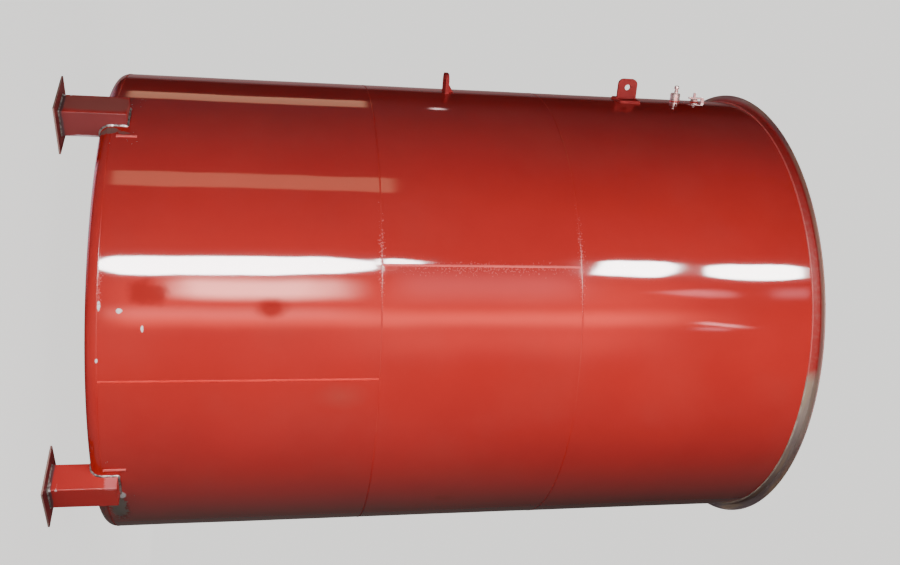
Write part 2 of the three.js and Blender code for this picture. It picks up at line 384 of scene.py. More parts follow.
def steel_group() -> bpy.types.NodeTree:
    """Gives the mottled colour of bare steel with its mill scale and rust bloom.

    Returns:
        The group.
    """

    def build(wiring: Wiring, given: Any, result: Any) -> None:
        """Wires the group.

        Args:
            wiring: The group's wiring.
            given: Its inputs.
            result: Its outputs.
        """
        grain_darkening = 0.45
        grain_relief = 0.6
        clouds = wiring.noise(given["Position"], scale=9.0, detail=5.0, seed=1.3)
        wiring.feed(clouds.node.inputs["Scale"], given["Spread"])
        grain = wiring.noise(given["Position"], scale=120.0, detail=3.0, seed=2.9)
        spots = wiring.noise(given["Position"], scale=16.0, detail=4.0, seed=5.5)
        bloom = wiring.ramp(spots, low=0.5, high=0.68)
        scale = wiring.blend(wiring.ramp(clouds, low=0.35, high=0.65), given["Dark"], given["Light"])
        grained = wiring.blend(wiring.math("MULTIPLY", grain, grain_darkening), scale, given["Dark"])
        rust = wiring.math("MULTIPLY", bloom, given["Rust Amount"])
        wiring.feed(result["Color"], wiring.blend(rust, grained, given["Rust"]))
        wiring.feed(result["Rust"], rust)
        wiring.feed(result["Height"], wiring.math("MULTIPLY_ADD", grain, grain_relief, clouds))

    inputs = [("Position", VECTOR, None), ("Dark", COLOUR, (0.1, 0.08, 0.07, 1)),
              ("Light", COLOUR, (0.3, 0.26, 0.22, 1)), ("Rust", COLOUR, (0.22, 0.09, 0.04, 1)),
              ("Rust Amount", FLOAT, 0.5), ("Spread", FLOAT, 9.0)]
    return shader_group("bare_steel", inputs, [("Color", COLOUR), ("Rust", FLOAT), ("Height", FLOAT)], build)


# Finishes


@dataclass(frozen=True)
class Patch:
    """A chip, smudge or bare spot, or a spot of painted shade or painted highlight, at an angle and level on
    the shell.
    """

    angle: float
    level: float
    half_width: float
    half_height: float
    colour: Colour
    strength: float = 1.0
    ragged: float = 0.8
    grain: float = 30.0
    softness: float = 0.3
    roughness: float = 0.5
    sparse: float = 0.0


# Pale primer for paint chips, also laid as painted highlight spots on the leg boxes' front corners.
PRIMER_AND_HIGHLIGHT = (0.97, 0.93, 0.92)
# Near-black for burnt paint, also laid as painted shade in the gap above each leg's cap.
SCORCH_AND_SHADE = (0.030, 0.030, 0.028)
BARE_GREY = (0.110, 0.080, 0.085)
GREEN_GREY = (0.190, 0.172, 0.150)
LIGHT_GREY = (0.400, 0.380, 0.330)
PALE_EDGE = (0.50, 0.33, 0.29)
# Painted highlight: a pale pink line where a leg's lower edge catches light.
PAINTED_EDGE_HIGHLIGHT = (0.85, 0.68, 0.74)
PALE_PINK = (0.80, 0.22, 0.23)
# Pale pink for sparse specks along the seams: painted glints of the spatter under the paint.
PAINTED_GLINT_SPECK = (0.78, 0.160, 0.150)
DULL_RED = (0.40, 0.022, 0.018)
WARM_RED = (0.62, 0.070, 0.065)
# Painted shade: darker reds laid over legs 1 and 3 in place of the shade on their faces.
PAINTED_LEG_SHADE = (0.36, 0.130, 0.115)
DEEP_PAINTED_LEG_SHADE = (0.20, 0.060, 0.062)
SMUDGE = (0.42, 0.10, 0.07)
LEG_ANGLES = (45.0, 135.0, 225.0, 315.0)


def leg_marks() -> tuple[Patch, ...]:
    """Works out the burnt and bare patches that welding the legs leaves, and a strip of painted shade in the
    gap above each cap, alike on opposite legs.

    Returns:
        The patches.
    """
    marks: list[Patch] = []
    for number, angle in enumerate(LEG_ANGLES):
        # Painted shade: a near-black strip on the shell in the gap just above the cap.
        marks.append(Patch(angle, 0.334, 0.075, 0.008, SCORCH_AND_SHADE, 0.8, ragged=1.0, softness=0.5))
        if number % 2:
            marks += [
                Patch(angle + 10.5, 0.318, 0.185, 0.045, SCORCH_AND_SHADE, 0.6, grain=26.0, softness=0.5),
                Patch(angle + 10.0, 0.310, 0.185, 0.044, LIGHT_GREY, 0.8, ragged=1.8, grain=45.0),
                Patch(angle + 4.1, 0.335, 0.036, 0.022, PRIMER_AND_HIGHLIGHT, ragged=0.7, grain=45.0),
            ]
        else:
            marks += [
                Patch(angle + 5.0, 0.250, 0.026, 0.055, GREEN_GREY, 0.8, ragged=1.2, grain=40.0),
                Patch(angle + 5.6, 0.318, 0.012, 0.030, GREEN_GREY, 0.6, ragged=1.2, grain=50.0),
            ]
    return tuple(marks)


SHELL_MARKS = (
    Patch(-87.9, 0.355, 0.0135, 0.016, PRIMER_AND_HIGHLIGHT, ragged=0.6, grain=60.0),
    Patch(-84.2, 0.459, 0.018, 0.007, PRIMER_AND_HIGHLIGHT, ragged=0.6, grain=60.0),
    Patch(-88.9, 0.265, 0.026, 0.008, PRIMER_AND_HIGHLIGHT, ragged=0.9, grain=70.0),
    Patch(-77.6, 0.256, 0.012, 0.007, PRIMER_AND_HIGHLIGHT, strength=0.9, grain=70.0),
    # Painted glints: sparse pink specks along the seams, only round the angles where the key panels are
    # mirrored.
    Patch(-93.5, 0.264, 0.140, 0.014, PAINTED_GLINT_SPECK, 0.6, ragged=6.0, grain=100.0, sparse=0.6),
    Patch(-100.0, 1.580, 0.220, 0.018, PAINTED_GLINT_SPECK, 0.6, ragged=6.0, grain=100.0, sparse=0.6),
    Patch(-99.0, 2.605, 0.240, 0.018, PAINTED_GLINT_SPECK, 0.6, ragged=6.0, grain=100.0, sparse=0.6),
    Patch(-97.4, 2.110, 0.045, 0.750, PAINTED_GLINT_SPECK, 0.5, ragged=6.0, grain=100.0, sparse=0.9),
    # A dull patch whose darker red is painted shade standing for a dent's broken reflection.
    Patch(-88.6, 1.055, 0.060, 0.088, DULL_RED, 0.9, ragged=0.7, grain=12.0, softness=0.6),
    Patch(-91.5, 0.487, 0.078, 0.105, DULL_RED, 0.8, ragged=1.5, grain=18.0, softness=0.5),
    Patch(-97.3, 1.620, 0.015, 0.045, WARM_RED, ragged=0.4, softness=0.3),
    Patch(-154.5, 3.510, 0.120, 0.170, DULL_RED, 0.9, ragged=0.5, grain=10.0, softness=0.6),
    Patch(-69.0, 1.394, 0.080, 0.150, SMUDGE, 0.30, softness=0.9, grain=9.0, roughness=0.4),
    Patch(-34.0, 2.000, 0.050, 0.080, SMUDGE, 0.35, softness=0.9, grain=12.0, roughness=0.4),
    *leg_marks(),
)


def box_marks() -> tuple[Patch, ...]:
    """Works out the bare band at each leg box's foot and its other marks, alike on opposite legs: painted
    shade over legs 1 and 3 with a painted highlight along their lower edge, and painted highlight spots on
    every box's front corner.

    Returns:
        The patches.
    """
    marks: list[Patch] = []
    for number, angle in enumerate(LEG_ANGLES):
        if number % 2:
            marks.append(Patch(angle - 3.2, 0.300, 0.020, 0.034, PALE_PINK, 0.7, ragged=0.9, grain=40.0))
        else:
            marks += [
                # Painted shade over the box's faces, deepest along one side.
                Patch(angle - 0.3, 0.170, 0.075, 0.300, PAINTED_LEG_SHADE, 0.75, ragged=0.4, grain=8.0),
                Patch(angle + 3.5, 0.170, 0.014, 0.300, DEEP_PAINTED_LEG_SHADE, 0.8, ragged=0.4, grain=8.0),
                # Painted highlight: a thin pale line along the box's lower edge.
                Patch(angle + 3.52, 0.130, 0.0010, 0.110, PAINTED_EDGE_HIGHLIGHT, 0.8, ragged=0.5, grain=40.0),
            ]
        marks += [
            Patch(angle, 0.012, 0.200, 0.020, BARE_GREY, 0.9, ragged=0.6, grain=26.0),
            # Painted highlights: two pale spots on the box's rounded front corner.
            Patch(angle - 2.9, 0.020, 0.008, 0.009, PRIMER_AND_HIGHLIGHT, 0.9, grain=60.0),
            Patch(angle - 2.9, 0.051, 0.007, 0.007, PRIMER_AND_HIGHLIGHT, 0.6, grain=60.0),
        ]
    return tuple(marks)


ALL_ROUND = 30.0
FOOT_MARKS = (Patch(0.0, 0.004, ALL_ROUND, 0.005, PALE_EDGE, 0.8, ragged=0.4, softness=0.2),)


def principled(material: bpy.types.Material) -> tuple[Wiring, bpy.types.Node]:
    """Empties a material's tree and gives it a Principled BSDF.

    Args:
        material: The material.

    Returns:
        The tree's wiring and the shader.
    """
    material.use_nodes = True
    material.node_tree.nodes.clear()
    wiring = Wiring(material.node_tree)
    shader = wiring.node("ShaderNodeBsdfPrincipled")
    wiring.node("ShaderNodeOutputMaterial", {"Surface": shader.outputs[0]})
    return wiring, shader


@dataclass(frozen=True)
class RedEnamel:
    """Glossy red enamel, sprayed over steel, with its marks."""

    name: str = "red_enamel"
    deep: Colour = (0.51, 0.0195, 0.0160)
    bright: Colour = (0.57, 0.0225, 0.0185)
    dust: Colour = (0.50, 0.16, 0.12)
    dust_amount: float = 0.06
    roughness: float = 0.30
    specular: float = 0.0
    coat: float = 1.0
    coat_roughness: float = 0.05
    dust_roughness: float = 0.35
    dust_dulling: float = 0.5
    peel: float = 0.00012
    peel_strength: float = 0.5
    marks: tuple[Patch, ...] = ()

    def build(self) -> bpy.types.Material:
        """Makes the material.

        Returns:
            The material.
        """
        material = bpy.data.materials.new(self.name)
        wiring, shader = principled(material)
        position = wiring.node("ShaderNodeTexCoord").outputs["Object"]
        spread = wiring.noise(position, scale=1.6, detail=4.0, seed=0.4)
        shade = wiring.ramp(spread, low=0.3, high=0.7)
        colour = wiring.blend(shade, (*self.deep, 1), (*self.bright, 1))
        settled = {"Position": position, "Amount": self.dust_amount}
        film = use_group(wiring, film_group(), settled).outputs["Mask"]
        colour = wiring.blend(film, colour, (*self.dust, 1))
        rough = wiring.math("MULTIPLY_ADD", film, self.dust_roughness, self.roughness)
        coat = wiring.math("MULTIPLY_ADD", film, -self.dust_dulling, self.coat)
        if self.marks:
            place = use_group(wiring, round_tank_group(), {"Position": position}).outputs
            for mark in self.marks:
                inputs = {"Position": position, "Angle": place["Angle"], "Radius": place["Radius"],
                          "Level": place["Level"], "Centre Angle": mark.angle, "Centre Level": mark.level,
                          "Half Width": mark.half_width, "Half Height": mark.half_height,
                          "Ragged": mark.ragged, "Grain": mark.grain, "Softness": mark.softness,
                          "Sparse": mark.sparse}
                mask = use_group(wiring, patch_group(), inputs).outputs["Mask"]
                mask = wiring.math("MULTIPLY", mask, mark.strength)
                colour = wiring.blend(mask, colour, (*mark.colour, 1))
                rough = wiring.math("MULTIPLY_ADD", mask, mark.roughness - self.roughness, rough)
                coat = wiring.math("MULTIPLY", coat, wiring.math("SUBTRACT", 1.0, mask))
        wiring.feed(shader.inputs["Base Color"], colour)
        wiring.feed(shader.inputs["Roughness"], rough)
        wiring.feed(shader.inputs["Coat Weight"], coat)
        shader.inputs["Coat Roughness"].default_value = self.coat_roughness
        shader.inputs["Specular IOR Level"].default_value = self.specular
        peel = wiring.noise(position, scale=60.0, detail=2.0, seed=1.7)
        relief = {"Height": peel, "Strength": self.peel_strength, "Distance": self.peel}
        bump = wiring.node("ShaderNodeBump", relief)
        wiring.feed(shader.inputs["Normal"], bump.outputs["Normal"])
        return material


@dataclass(frozen=True)
class Overspray:
    """Red spray on a bare steel ring, more on one side of it and less on its outer edge."""

    colour: Colour = (0.40, 0.022, 0.020)
    full_angle: float = -76.0
    clear_angle: float = -70.5
    raggedness: float = 9.0
    far_angles: tuple[float, float] = (60.0, 110.0)
    elsewhere: float = 0.25
    inner_radius: float = 1.308
    outer_radius: float = 1.332
    on_outer_edge: float = 0.15
    cover: tuple[float, float] = (0.84, 0.98)

    def mask(self, wiring: Wiring, position: bpy.types.NodeSocket) -> bpy.types.NodeSocket:
        """Masks where the spray is.

        Args:
            wiring: The material's wiring.
            position: Object coordinates.

        Returns:
            The mask.
        """
        place = use_group(wiring, round_tank_group(), {"Position": position}).outputs
        clouds = wiring.noise(position, scale=6.0, detail=5.0, seed=9.3)
        shift = wiring.math("SUBTRACT", clouds, 0.5)
        turn = wiring.math("MULTIPLY_ADD", shift, self.raggedness, place["Angle"])
        side = wiring.ramp(turn, self.full_angle, self.clear_angle, 1.0, 0.0)
        far = wiring.ramp(turn, *self.far_angles, 0.0, self.elsewhere)
        share = wiring.math("ADD", side, far)
        edge = wiring.ramp(place["Radius"], self.inner_radius, self.outer_radius, 1.0, self.on_outer_edge)
        specks = wiring.noise(position, scale=40.0, detail=3.0, seed=4.4)
        grain = wiring.ramp(specks, 0.25, 0.6, *self.cover)
        return wiring.math("MULTIPLY", wiring.math("MULTIPLY", share, edge), grain, clamp=True)


@dataclass(frozen=True)
class BareSteel:
    """Bare steel with mill scale and rust bloom."""

    name: str = "bare_curb_steel"
    dark: Colour = (0.10, 0.072, 0.060)
    light: Colour = (0.36, 0.27, 0.225)
    rust: Colour = (0.22, 0.085, 0.045)
    rust_amount: float = 0.55
    rust_roughness: float = 0.4
    roughness: float = 0.48
    metallic: float = 0.30
    specular: float = 0.5
    grain: float = 0.0006
    grain_strength: float = 0.6
    spread: float = 9.0
    along_ring: float = 0.0
    overspray: Overspray | None = None

    def grain_position(self, wiring: Wiring, position: bpy.types.NodeSocket) -> bpy.types.NodeSocket:
        """Gives the coordinates of the grain, drawn out along the ring where along_ring is set.

        Args:
            wiring: The material's wiring.
            position: Object coordinates.

        Returns:
            The coordinates.
        """
        if self.along_ring <= 0.0:
            return position
        place = use_group(wiring, round_tank_group(), {"Position": position}).outputs
        around = wiring.math("MULTIPLY", wiring.math("RADIANS", place["Angle"]), place["Radius"])
        drawn_out = wiring.math("DIVIDE", around, self.along_ring)
        return wiring.combine(drawn_out, place["Radius"], place["Level"])

    def build(self) -> bpy.types.Material:
        """Makes the material.

        Returns:
            The material.
        """
        material = bpy.data.materials.new(self.name)
        wiring, shader = principled(material)
        position = wiring.node("ShaderNodeTexCoord").outputs["Object"]
        inputs = {"Position": self.grain_position(wiring, position), "Dark": (*self.dark, 1),
                  "Light": (*self.light, 1), "Rust": (*self.rust, 1), "Rust Amount": self.rust_amount,
                  "Spread": self.spread}
        steel = use_group(wiring, steel_group(), inputs).outputs
        colour = steel["Color"]
        metallic = wiring.math("MULTIPLY_ADD", steel["Rust"], -self.metallic, self.metallic)
        if self.overspray is not None:
            sprayed = self.overspray.mask(wiring, position)
            colour = wiring.blend(sprayed, colour, (*self.overspray.colour, 1))
            metallic = wiring.math("MULTIPLY", metallic, wiring.math("SUBTRACT", 1.0, sprayed))
        wiring.feed(shader.inputs["Base Color"], colour)
        rough = wiring.math("MULTIPLY_ADD", steel["Rust"], self.rust_roughness, self.roughness)
        wiring.feed(shader.inputs["Roughness"], rough)
        wiring.feed(shader.inputs["Metallic"], metallic)
        shader.inputs["Specular IOR Level"].default_value = self.specular
        relief = {"Height": steel["Height"], "Strength": self.grain_strength, "Distance": self.grain}
        bump = wiring.node("ShaderNodeBump", relief)
        wiring.feed(shader.inputs["Normal"], bump.outputs["Normal"])
        return material


class Finishes:
    """The tank's materials, each made once."""

    def __init__(self) -> None:
        """Makes them all."""
        self.shell = RedEnamel("shell_enamel", marks=SHELL_MARKS).build()
        self.seam = RedEnamel("seam_enamel", dust_amount=0.15, coat=0.5, coat_roughness=0.22,
                              marks=SHELL_MARKS).build()
        # Painted highlight: the upright seam beads of the lower and upper courses get a paler, brighter red
        # for the light they catch.
        self.highlight_seam = RedEnamel("pale_seam_enamel", (0.84, 0.034, 0.027), (0.95, 0.060, 0.048),
                                   dust_amount=0.05, coat=0.05, coat_roughness=0.35).build()
        # Painted reflection: a pale pink red for beads that mirror the bright key band.
        self.reflection_seam = RedEnamel("bright_seam_enamel", (0.92, 0.12, 0.11), (0.98, 0.20, 0.19),
                                     dust_amount=0.1, coat=0.1, coat_roughness=0.35).build()
        self.enamel = RedEnamel("part_enamel", dust_amount=0.12).build()
        self.lug = RedEnamel("lug_enamel", (0.50, 0.045, 0.045), (0.56, 0.070, 0.070), dust_amount=0.35,
                             coat=0.03, coat_roughness=0.40).build()
        self.leg = RedEnamel("leg_enamel", (0.59, 0.034, 0.030), (0.65, 0.040, 0.036), dust_amount=0.2,
                             coat=0.5, coat_roughness=0.20, marks=box_marks()).build()
        # Painted shade: the foot plates' red is dark maroon in place of the shade on their faces.
        self.foot = RedEnamel("foot_enamel", (0.18, 0.034, 0.036), (0.25, 0.040, 0.040), dust_amount=0.2,
                              coat=0.4, coat_roughness=0.25, marks=FOOT_MARKS).build()
        self.curb = BareSteel(dark=(0.15, 0.11, 0.115), light=(0.46, 0.38, 0.315), rust=(0.36, 0.26, 0.16),
                              rust_amount=0.6, metallic=0.10, specular=0.10, along_ring=8.0,
                              overspray=Overspray()).build()
        # The curb bead's steel is a paler copy of the curb's, partly a painted highlight for the light its
        # ridge catches, under real red overspray.
        self.highlit_ridge = BareSteel("curb_ridge_steel", dark=(0.30, 0.25, 0.20), light=(0.56, 0.48, 0.39),
                               rust=(0.30, 0.20, 0.13), rust_amount=0.5, metallic=0.10, specular=0.20,
                               overspray=Overspray((0.60, 0.065, 0.060))).build()
        self.weld = BareSteel("bare_weld_steel", dark=(0.060, 0.060, 0.056), light=(0.48, 0.45, 0.42),
                              rust=(0.16, 0.10, 0.08), rust_amount=0.2, roughness=0.40, metallic=0.3,
                              spread=55.0).build()
        self.zinc = BareSteel("zinc_fitting", dark=(0.34, 0.29, 0.28), light=(0.66, 0.57, 0.55),
                              rust=(0.30, 0.15, 0.12), rust_amount=0.2, roughness=0.38,
                              metallic=0.75).build()


# Meshes


def finished_object(name: str, mesh: bpy.types.Mesh, material: bpy.types.Material) -> bpy.types.Object:
    """Puts a mesh into the scene, smooth but for its sharp edges.

    Args:
        name: The piece's name.
        mesh: Its mesh.
        material: Its finish.

    Returns:
        The object, at the origin.
    """
    mesh.name = name
    mesh.materials.clear()
    mesh.materials.append(material)
    mesh.shade_smooth()
    mesh.set_sharp_from_angle(angle=SHARP_EDGE)
    made = bpy.data.objects.new(name, mesh)
    bpy.context.scene.collection.objects.link(made)
    return made


def mesh_from(name: str, points: Sequence[Sequence[float]],
              faces: Sequence[Sequence[int]]) -> bpy.types.Mesh:
    """Makes a closed mesh with its faces outwards.

    Args:
        name: The mesh's name.
        points: Its corners.
        faces: Its faces, as corner numbers.

    Returns:
        The mesh.
    """
    mesh = bpy.data.meshes.new(name)
    mesh.from_pydata([tuple(point) for point in points], [], [tuple(face) for face in faces])
    work = bmesh.new()
    work.from_mesh(mesh)
    bmesh.ops.remove_doubles(work, verts=work.verts, dist=POINT_DISTANCE)
    bmesh.ops.recalc_face_normals(work, faces=work.faces)
    work.to_mesh(mesh)
    work.free()
    return mesh


def smooth_copy(node: bpy.types.Object, name: str, bevel: float = 0.0) -> bpy.types.Mesh:
    """Copies a CAD node's mesh, merged, with its sharp edges rounded off.

    Args:
        node: The CAD node.
        name: The copy's name.
        bevel: How far its sharp edges are rounded.

    Returns:
        The copy.
    """
    mesh = node.data.copy()
    mesh.name = name
    work = bmesh.new()
    work.from_mesh(mesh)
    bmesh.ops.remove_doubles(work, verts=work.verts, dist=MERGE_DISTANCE)
    bmesh.ops.dissolve_limit(work, angle_limit=FLAT_ANGLE, verts=work.verts, edges=work.edges)
    if bevel > 0.0:
        sharp = [edge for edge in work.edges
                 if len(edge.link_faces) == 2 and edge.calc_face_angle() > SHARP_CORNER]
        bmesh.ops.bevel(work, geom=sharp, offset=bevel, segments=2, profile=0.5, affect="EDGES",
                        clamp_overlap=True)
    work.to_mesh(mesh)
    work.free()
    return mesh


def keep_flats_flat(made: bpy.types.Object) -> bpy.types.Object:
    """Weighs a piece's normals by face size, so that its rounded edges don't shade its flats.

    Args:
        made: The piece.

    Returns:
        The same piece, with a plain mesh.
    """
    modifier = made.modifiers.new("flat_faces", "WEIGHTED_NORMAL")
    modifier.keep_sharp = True
    modifier.weight = BY_FACE_SIZE_ALONE
    graph = bpy.context.evaluated_depsgraph_get()
    weighed = bpy.data.meshes.new_from_object(made.evaluated_get(graph), depsgraph=graph)
    made.modifiers.clear()
    made.data = weighed
    weighed.name = made.name
    return made


def turned_mesh(name: str, profile: Sequence[tuple[float, float]], start: float = 0.0,
                sweep: float = FULL_TURN, steps: int = 240) -> bpy.types.Mesh:
    """Turns a closed outline about the tank's axis.

    Args:
        name: The mesh's name.
        profile: Radius and level of each corner of the outline, in order round it.
        start: The angle at which the turn starts.
        sweep: How far it turns.
        steps: How many flats it has.

    Returns:
        The closed mesh.
    """
    whole = abs(sweep - FULL_TURN) < SAME_ANGLE
    stations = steps if whole else steps + 1
    angles = np.radians(start + sweep * np.arange(stations) / steps)
    points: list[tuple[float, float, float]] = []
    for angle in angles:
        cosine, sine = math.cos(angle), math.sin(angle)
        points.extend((radius * cosine, radius * sine, level) for radius, level in profile)
    count = len(profile)
    faces: list[list[int]] = []
    for step in range(steps):
        here = step * count
        there = ((step + 1) % stations) * count
        for corner in range(count):
            following = (corner + 1) % count
            quad = [here + corner, there + corner, there + following, here + following]
            starts_on_axis = profile[corner][0] < ON_AXIS
            ends_on_axis = profile[following][0] < ON_AXIS
            if starts_on_axis and ends_on_axis:
                continue
            if starts_on_axis:
                quad = [here + corner, there + following, here + following]
            elif ends_on_axis:
                quad = [here + corner, there + corner, here + following]
            faces.append(quad)
    if not whole:
        faces.append(list(range(count)))
        faces.append([(stations - 1) * count + corner for corner in range(count)])
    return mesh_from(name, points, faces)


def bevelled_box(name: str, size: Sequence[float], place: Matrix, bevel: float) -> bpy.types.Mesh:
    """Makes a box with rounded edges.

    Args:
        name: The mesh's name.
        size: Its three lengths.
        place: Where its middle goes and how it is turned.
        bevel: The radius of its edges.

    Returns:
        The closed mesh.
    """
    mesh = bpy.data.meshes.new(name)
    work = bmesh.new()
    bmesh.ops.create_cube(work, size=1.0, matrix=Matrix.Diagonal((*size, 1.0)))
    bmesh.ops.bevel(work, geom=list(work.edges), offset=bevel, segments=3, profile=0.5, affect="EDGES")
    bmesh.ops.transform(work, matrix=place, verts=work.verts)
    bmesh.ops.recalc_face_normals(work, faces=work.faces)
    work.to_mesh(mesh)
    work.free()
    return mesh


# Geometry node trees


def geometry_tree(name: str, inputs: Sequence[tuple[str, str, Any]],
                  build: Callable[[Wiring, Any], bpy.types.NodeSocket]) -> bpy.types.NodeTree:
    """Makes a geometry node tree once, or returns the one that is there.

    Args:
        name: The tree's name.
        inputs: Name, socket kind and first value of each input after the geometry.
        build: Wires the tree, given its wiring and its inputs, and returns the geometry made.

    Returns:
        The tree, which ends in Realize Instances and Set Material.
    """
    found = bpy.data.node_groups.get(name)
    if found is not None:
        return found
    tree = bpy.data.node_groups.new(name, "GeometryNodeTree")
    tree.interface.new_socket(name="Geometry", in_out="INPUT", socket_type="NodeSocketGeometry")
    for label, kind, value in inputs:
        socket = tree.interface.new_socket(name=label, in_out="INPUT", socket_type=kind)
        if value is not None:
            socket.default_value = value
    tree.interface.new_socket(name="Material", in_out="INPUT", socket_type="NodeSocketMaterial")
    tree.interface.new_socket(name="Geometry", in_out="OUTPUT", socket_type="NodeSocketGeometry")
    wiring = Wiring(tree)
    given = wiring.node("NodeGroupInput").outputs
    made = build(wiring, given)
    real = wiring.node("GeometryNodeRealizeInstances", {0: made}).outputs[0]
    dressed = wiring.node("GeometryNodeSetMaterial", {"Geometry": real, "Material": given["Material"]})
    wiring.node("NodeGroupOutput", {0: dressed.outputs[0]})
    return tree


def grown_mesh(name: str, tree: bpy.types.NodeTree, values: dict[str, Any],
               seed_mesh: bpy.types.Mesh | None = None) -> bpy.types.Mesh:
    """Runs a geometry node tree and keeps its result as a plain mesh.

    Args:
        name: The mesh's name.
        tree: The tree.
        values: Its inputs by name.
        seed_mesh: The mesh that the tree starts from, where it needs one.

    Returns:
        The plain mesh.
    """
    if seed_mesh is None:
        seed_mesh = bpy.data.meshes.new(name + "_seed")
    holder = bpy.data.objects.new(name + "_holder", seed_mesh)
    bpy.context.scene.collection.objects.link(holder)
    modifier = holder.modifiers.new("grow", "NODES")
    modifier.node_group = tree
    for item in tree.interface.items_tree:
        if item.item_type == "SOCKET" and item.in_out == "INPUT" and item.name in values:
            modifier[item.identifier] = values[item.name]
    bpy.context.view_layer.update()
    graph = bpy.context.evaluated_depsgraph_get()
    mesh = bpy.data.meshes.new_from_object(holder.evaluated_get(graph), depsgraph=graph)
    holder.modifiers.clear()
    bpy.data.objects.remove(holder)
    mesh.name = name
    return mesh


def rolled_plate_tree() -> bpy.types.NodeTree:
    """A rolled shell plate: a slab bent round the axis, a little wavy and drawn in at its welds.

    Returns:
        The tree.
    """

    def build(wiring: Wiring, given: Any) -> bpy.types.NodeSocket:
        """Wires the tree.

        Args:
            wiring: The tree's wiring.
            given: Its inputs.

        Returns:
            The plate.
        """
        fine_share = 0.25
        sweep = wiring.math("RADIANS", given["Sweep"])
        size = wiring.combine(sweep, given["Height"], given["Wall"])
        grid = {"Size": size, "Vertices X": given["Columns"], "Vertices Y": given["Rows"], "Vertices Z": 2}
        slab = wiring.node("GeometryNodeMeshCube", grid).outputs[0]
        along, up, out = wiring.split(wiring.node("GeometryNodeInputPosition").outputs[0])
        half_height = wiring.math("MULTIPLY", given["Height"], 0.5)
        half_sweep = wiring.math("MULTIPLY", sweep, 0.5)
        middle = wiring.math("ADD", wiring.math("RADIANS", given["Start"]), half_sweep)
        turn = wiring.math("ADD", middle, along)
        level = wiring.math("ADD", wiring.math("ADD", given["Bottom"], half_height), up)
        cosine = wiring.math("COSINE", turn)
        sine = wiring.math("SINE", turn)
        on_axis = wiring.combine(cosine, sine, level)
        broad = wiring.math("SUBTRACT", wiring.noise(on_axis, scale=1.9, detail=1.0, seed=4.2), 0.5)
        fine = wiring.math("SUBTRACT", wiring.noise(on_axis, scale=6.0, detail=1.0, seed=8.6), 0.5)
        wave = wiring.math("MULTIPLY_ADD", fine, fine_share, broad)
        from_ring = wiring.math("SUBTRACT", half_height, wiring.math("ABSOLUTE", up))
        angle_from_end = wiring.math("SUBTRACT", half_sweep, wiring.math("ABSOLUTE", along))
        from_end = wiring.math("MULTIPLY", angle_from_end, given["Radius"])
        less_reach = wiring.math("MULTIPLY", given["Reach"], -1.0)
        drawn = [wiring.math("EXPONENT", wiring.math("DIVIDE", away, less_reach))
                 for away in (from_ring, from_end)]
        pull = wiring.math("MULTIPLY", wiring.math("MAXIMUM", *drawn), given["Pull"])
        radius = wiring.math("MULTIPLY_ADD", wave, given["Waves"], given["Radius"])
        radius = wiring.math("SUBTRACT", radius, wiring.math("MULTIPLY", given["Wall"], 0.5))
        radius = wiring.math("SUBTRACT", wiring.math("ADD", radius, out), pull)
        x, y = wiring.math("MULTIPLY", radius, cosine), wiring.math("MULTIPLY", radius, sine)
        place = wiring.combine(x, y, level)
        return wiring.node("GeometryNodeSetPosition", {"Geometry": slab, "Position": place}).outputs[0]

    inputs = [("Start", FLOAT, 0.0), ("Sweep", FLOAT, 180.0), ("Bottom", FLOAT, 0.0),
              ("Height", FLOAT, 1.0), ("Radius", FLOAT, 1.3), ("Wall", FLOAT, 0.006),
              ("Waves", FLOAT, 0.002), ("Pull", FLOAT, 0.001), ("Reach", FLOAT, 0.03),
              ("Columns", INTEGER, 145), ("Rows", INTEGER, 49)]
    return geometry_tree("rolled_plate", inputs, build)


def bead_tree() -> bpy.types.NodeTree:
    """A rippled weld bead along the edges of a path mesh, whose attribute out points off the plate.

    Returns:
        The tree.
    """

    def build(wiring: Wiring, given: Any) -> bpy.types.NodeSocket:
        """Wires the tree.

        Args:
            wiring: The tree's wiring.
            given: Its inputs.

        Returns:
            The beads.
        """
        sides = 10
        curve = wiring.node("GeometryNodeMeshToCurve", {"Mesh": given["Geometry"]}).outputs[0]
        spacing = {"Curve": curve, "Length": given["Pitch"]}
        spaced = wiring.node("GeometryNodeResampleCurve", spacing, mode="LENGTH").outputs[0]
        out = wiring.node("GeometryNodeInputNamedAttribute", {"Name": "out"}, data_type="FLOAT_VECTOR")
        aim = {"Curve": spaced, "Normal": out.outputs["Attribute"]}
        aimed = wiring.node("GeometryNodeSetCurveNormal", aim, mode="FREE").outputs[0]
        outline = {"Resolution": sides, "Radius": 1.0}
        circle = wiring.node("GeometryNodeCurvePrimitiveCircle", outline).outputs[0]
        shape = wiring.combine(given["Height"], given["Half Width"], 1.0)
        profile = wiring.node("GeometryNodeTransform", {"Geometry": circle, "Scale": shape}).outputs[0]
        laid = {"Curve": aimed, "Profile Curve": profile, "Fill Caps": True}
        bead = wiring.node("GeometryNodeCurveToMesh", laid).outputs[0]
        position = wiring.node("GeometryNodeInputPosition").outputs[0]
        ripple = wiring.noise(position, scale=120.0)
        wiring.feed(ripple.node.inputs["W"], given["Seed"])
        size = wiring.math("MULTIPLY", wiring.math("SUBTRACT", ripple, 0.5), given["Ripple"])
        normal = wiring.node("GeometryNodeInputNormal").outputs[0]
        shift = wiring.node("ShaderNodeVectorMath", {0: normal, "Scale": size}, operation="SCALE")
        moved = {"Geometry": bead, "Offset": shift.outputs[0]}
        return wiring.node("GeometryNodeSetPosition", moved).outputs[0]

    inputs = [("Half Width", FLOAT, 0.006), ("Height", FLOAT, 0.003), ("Pitch", FLOAT, 0.008),
              ("Ripple", FLOAT, 0.002), ("Seed", FLOAT, 1.0)]
    return geometry_tree("weld_bead", inputs, build)


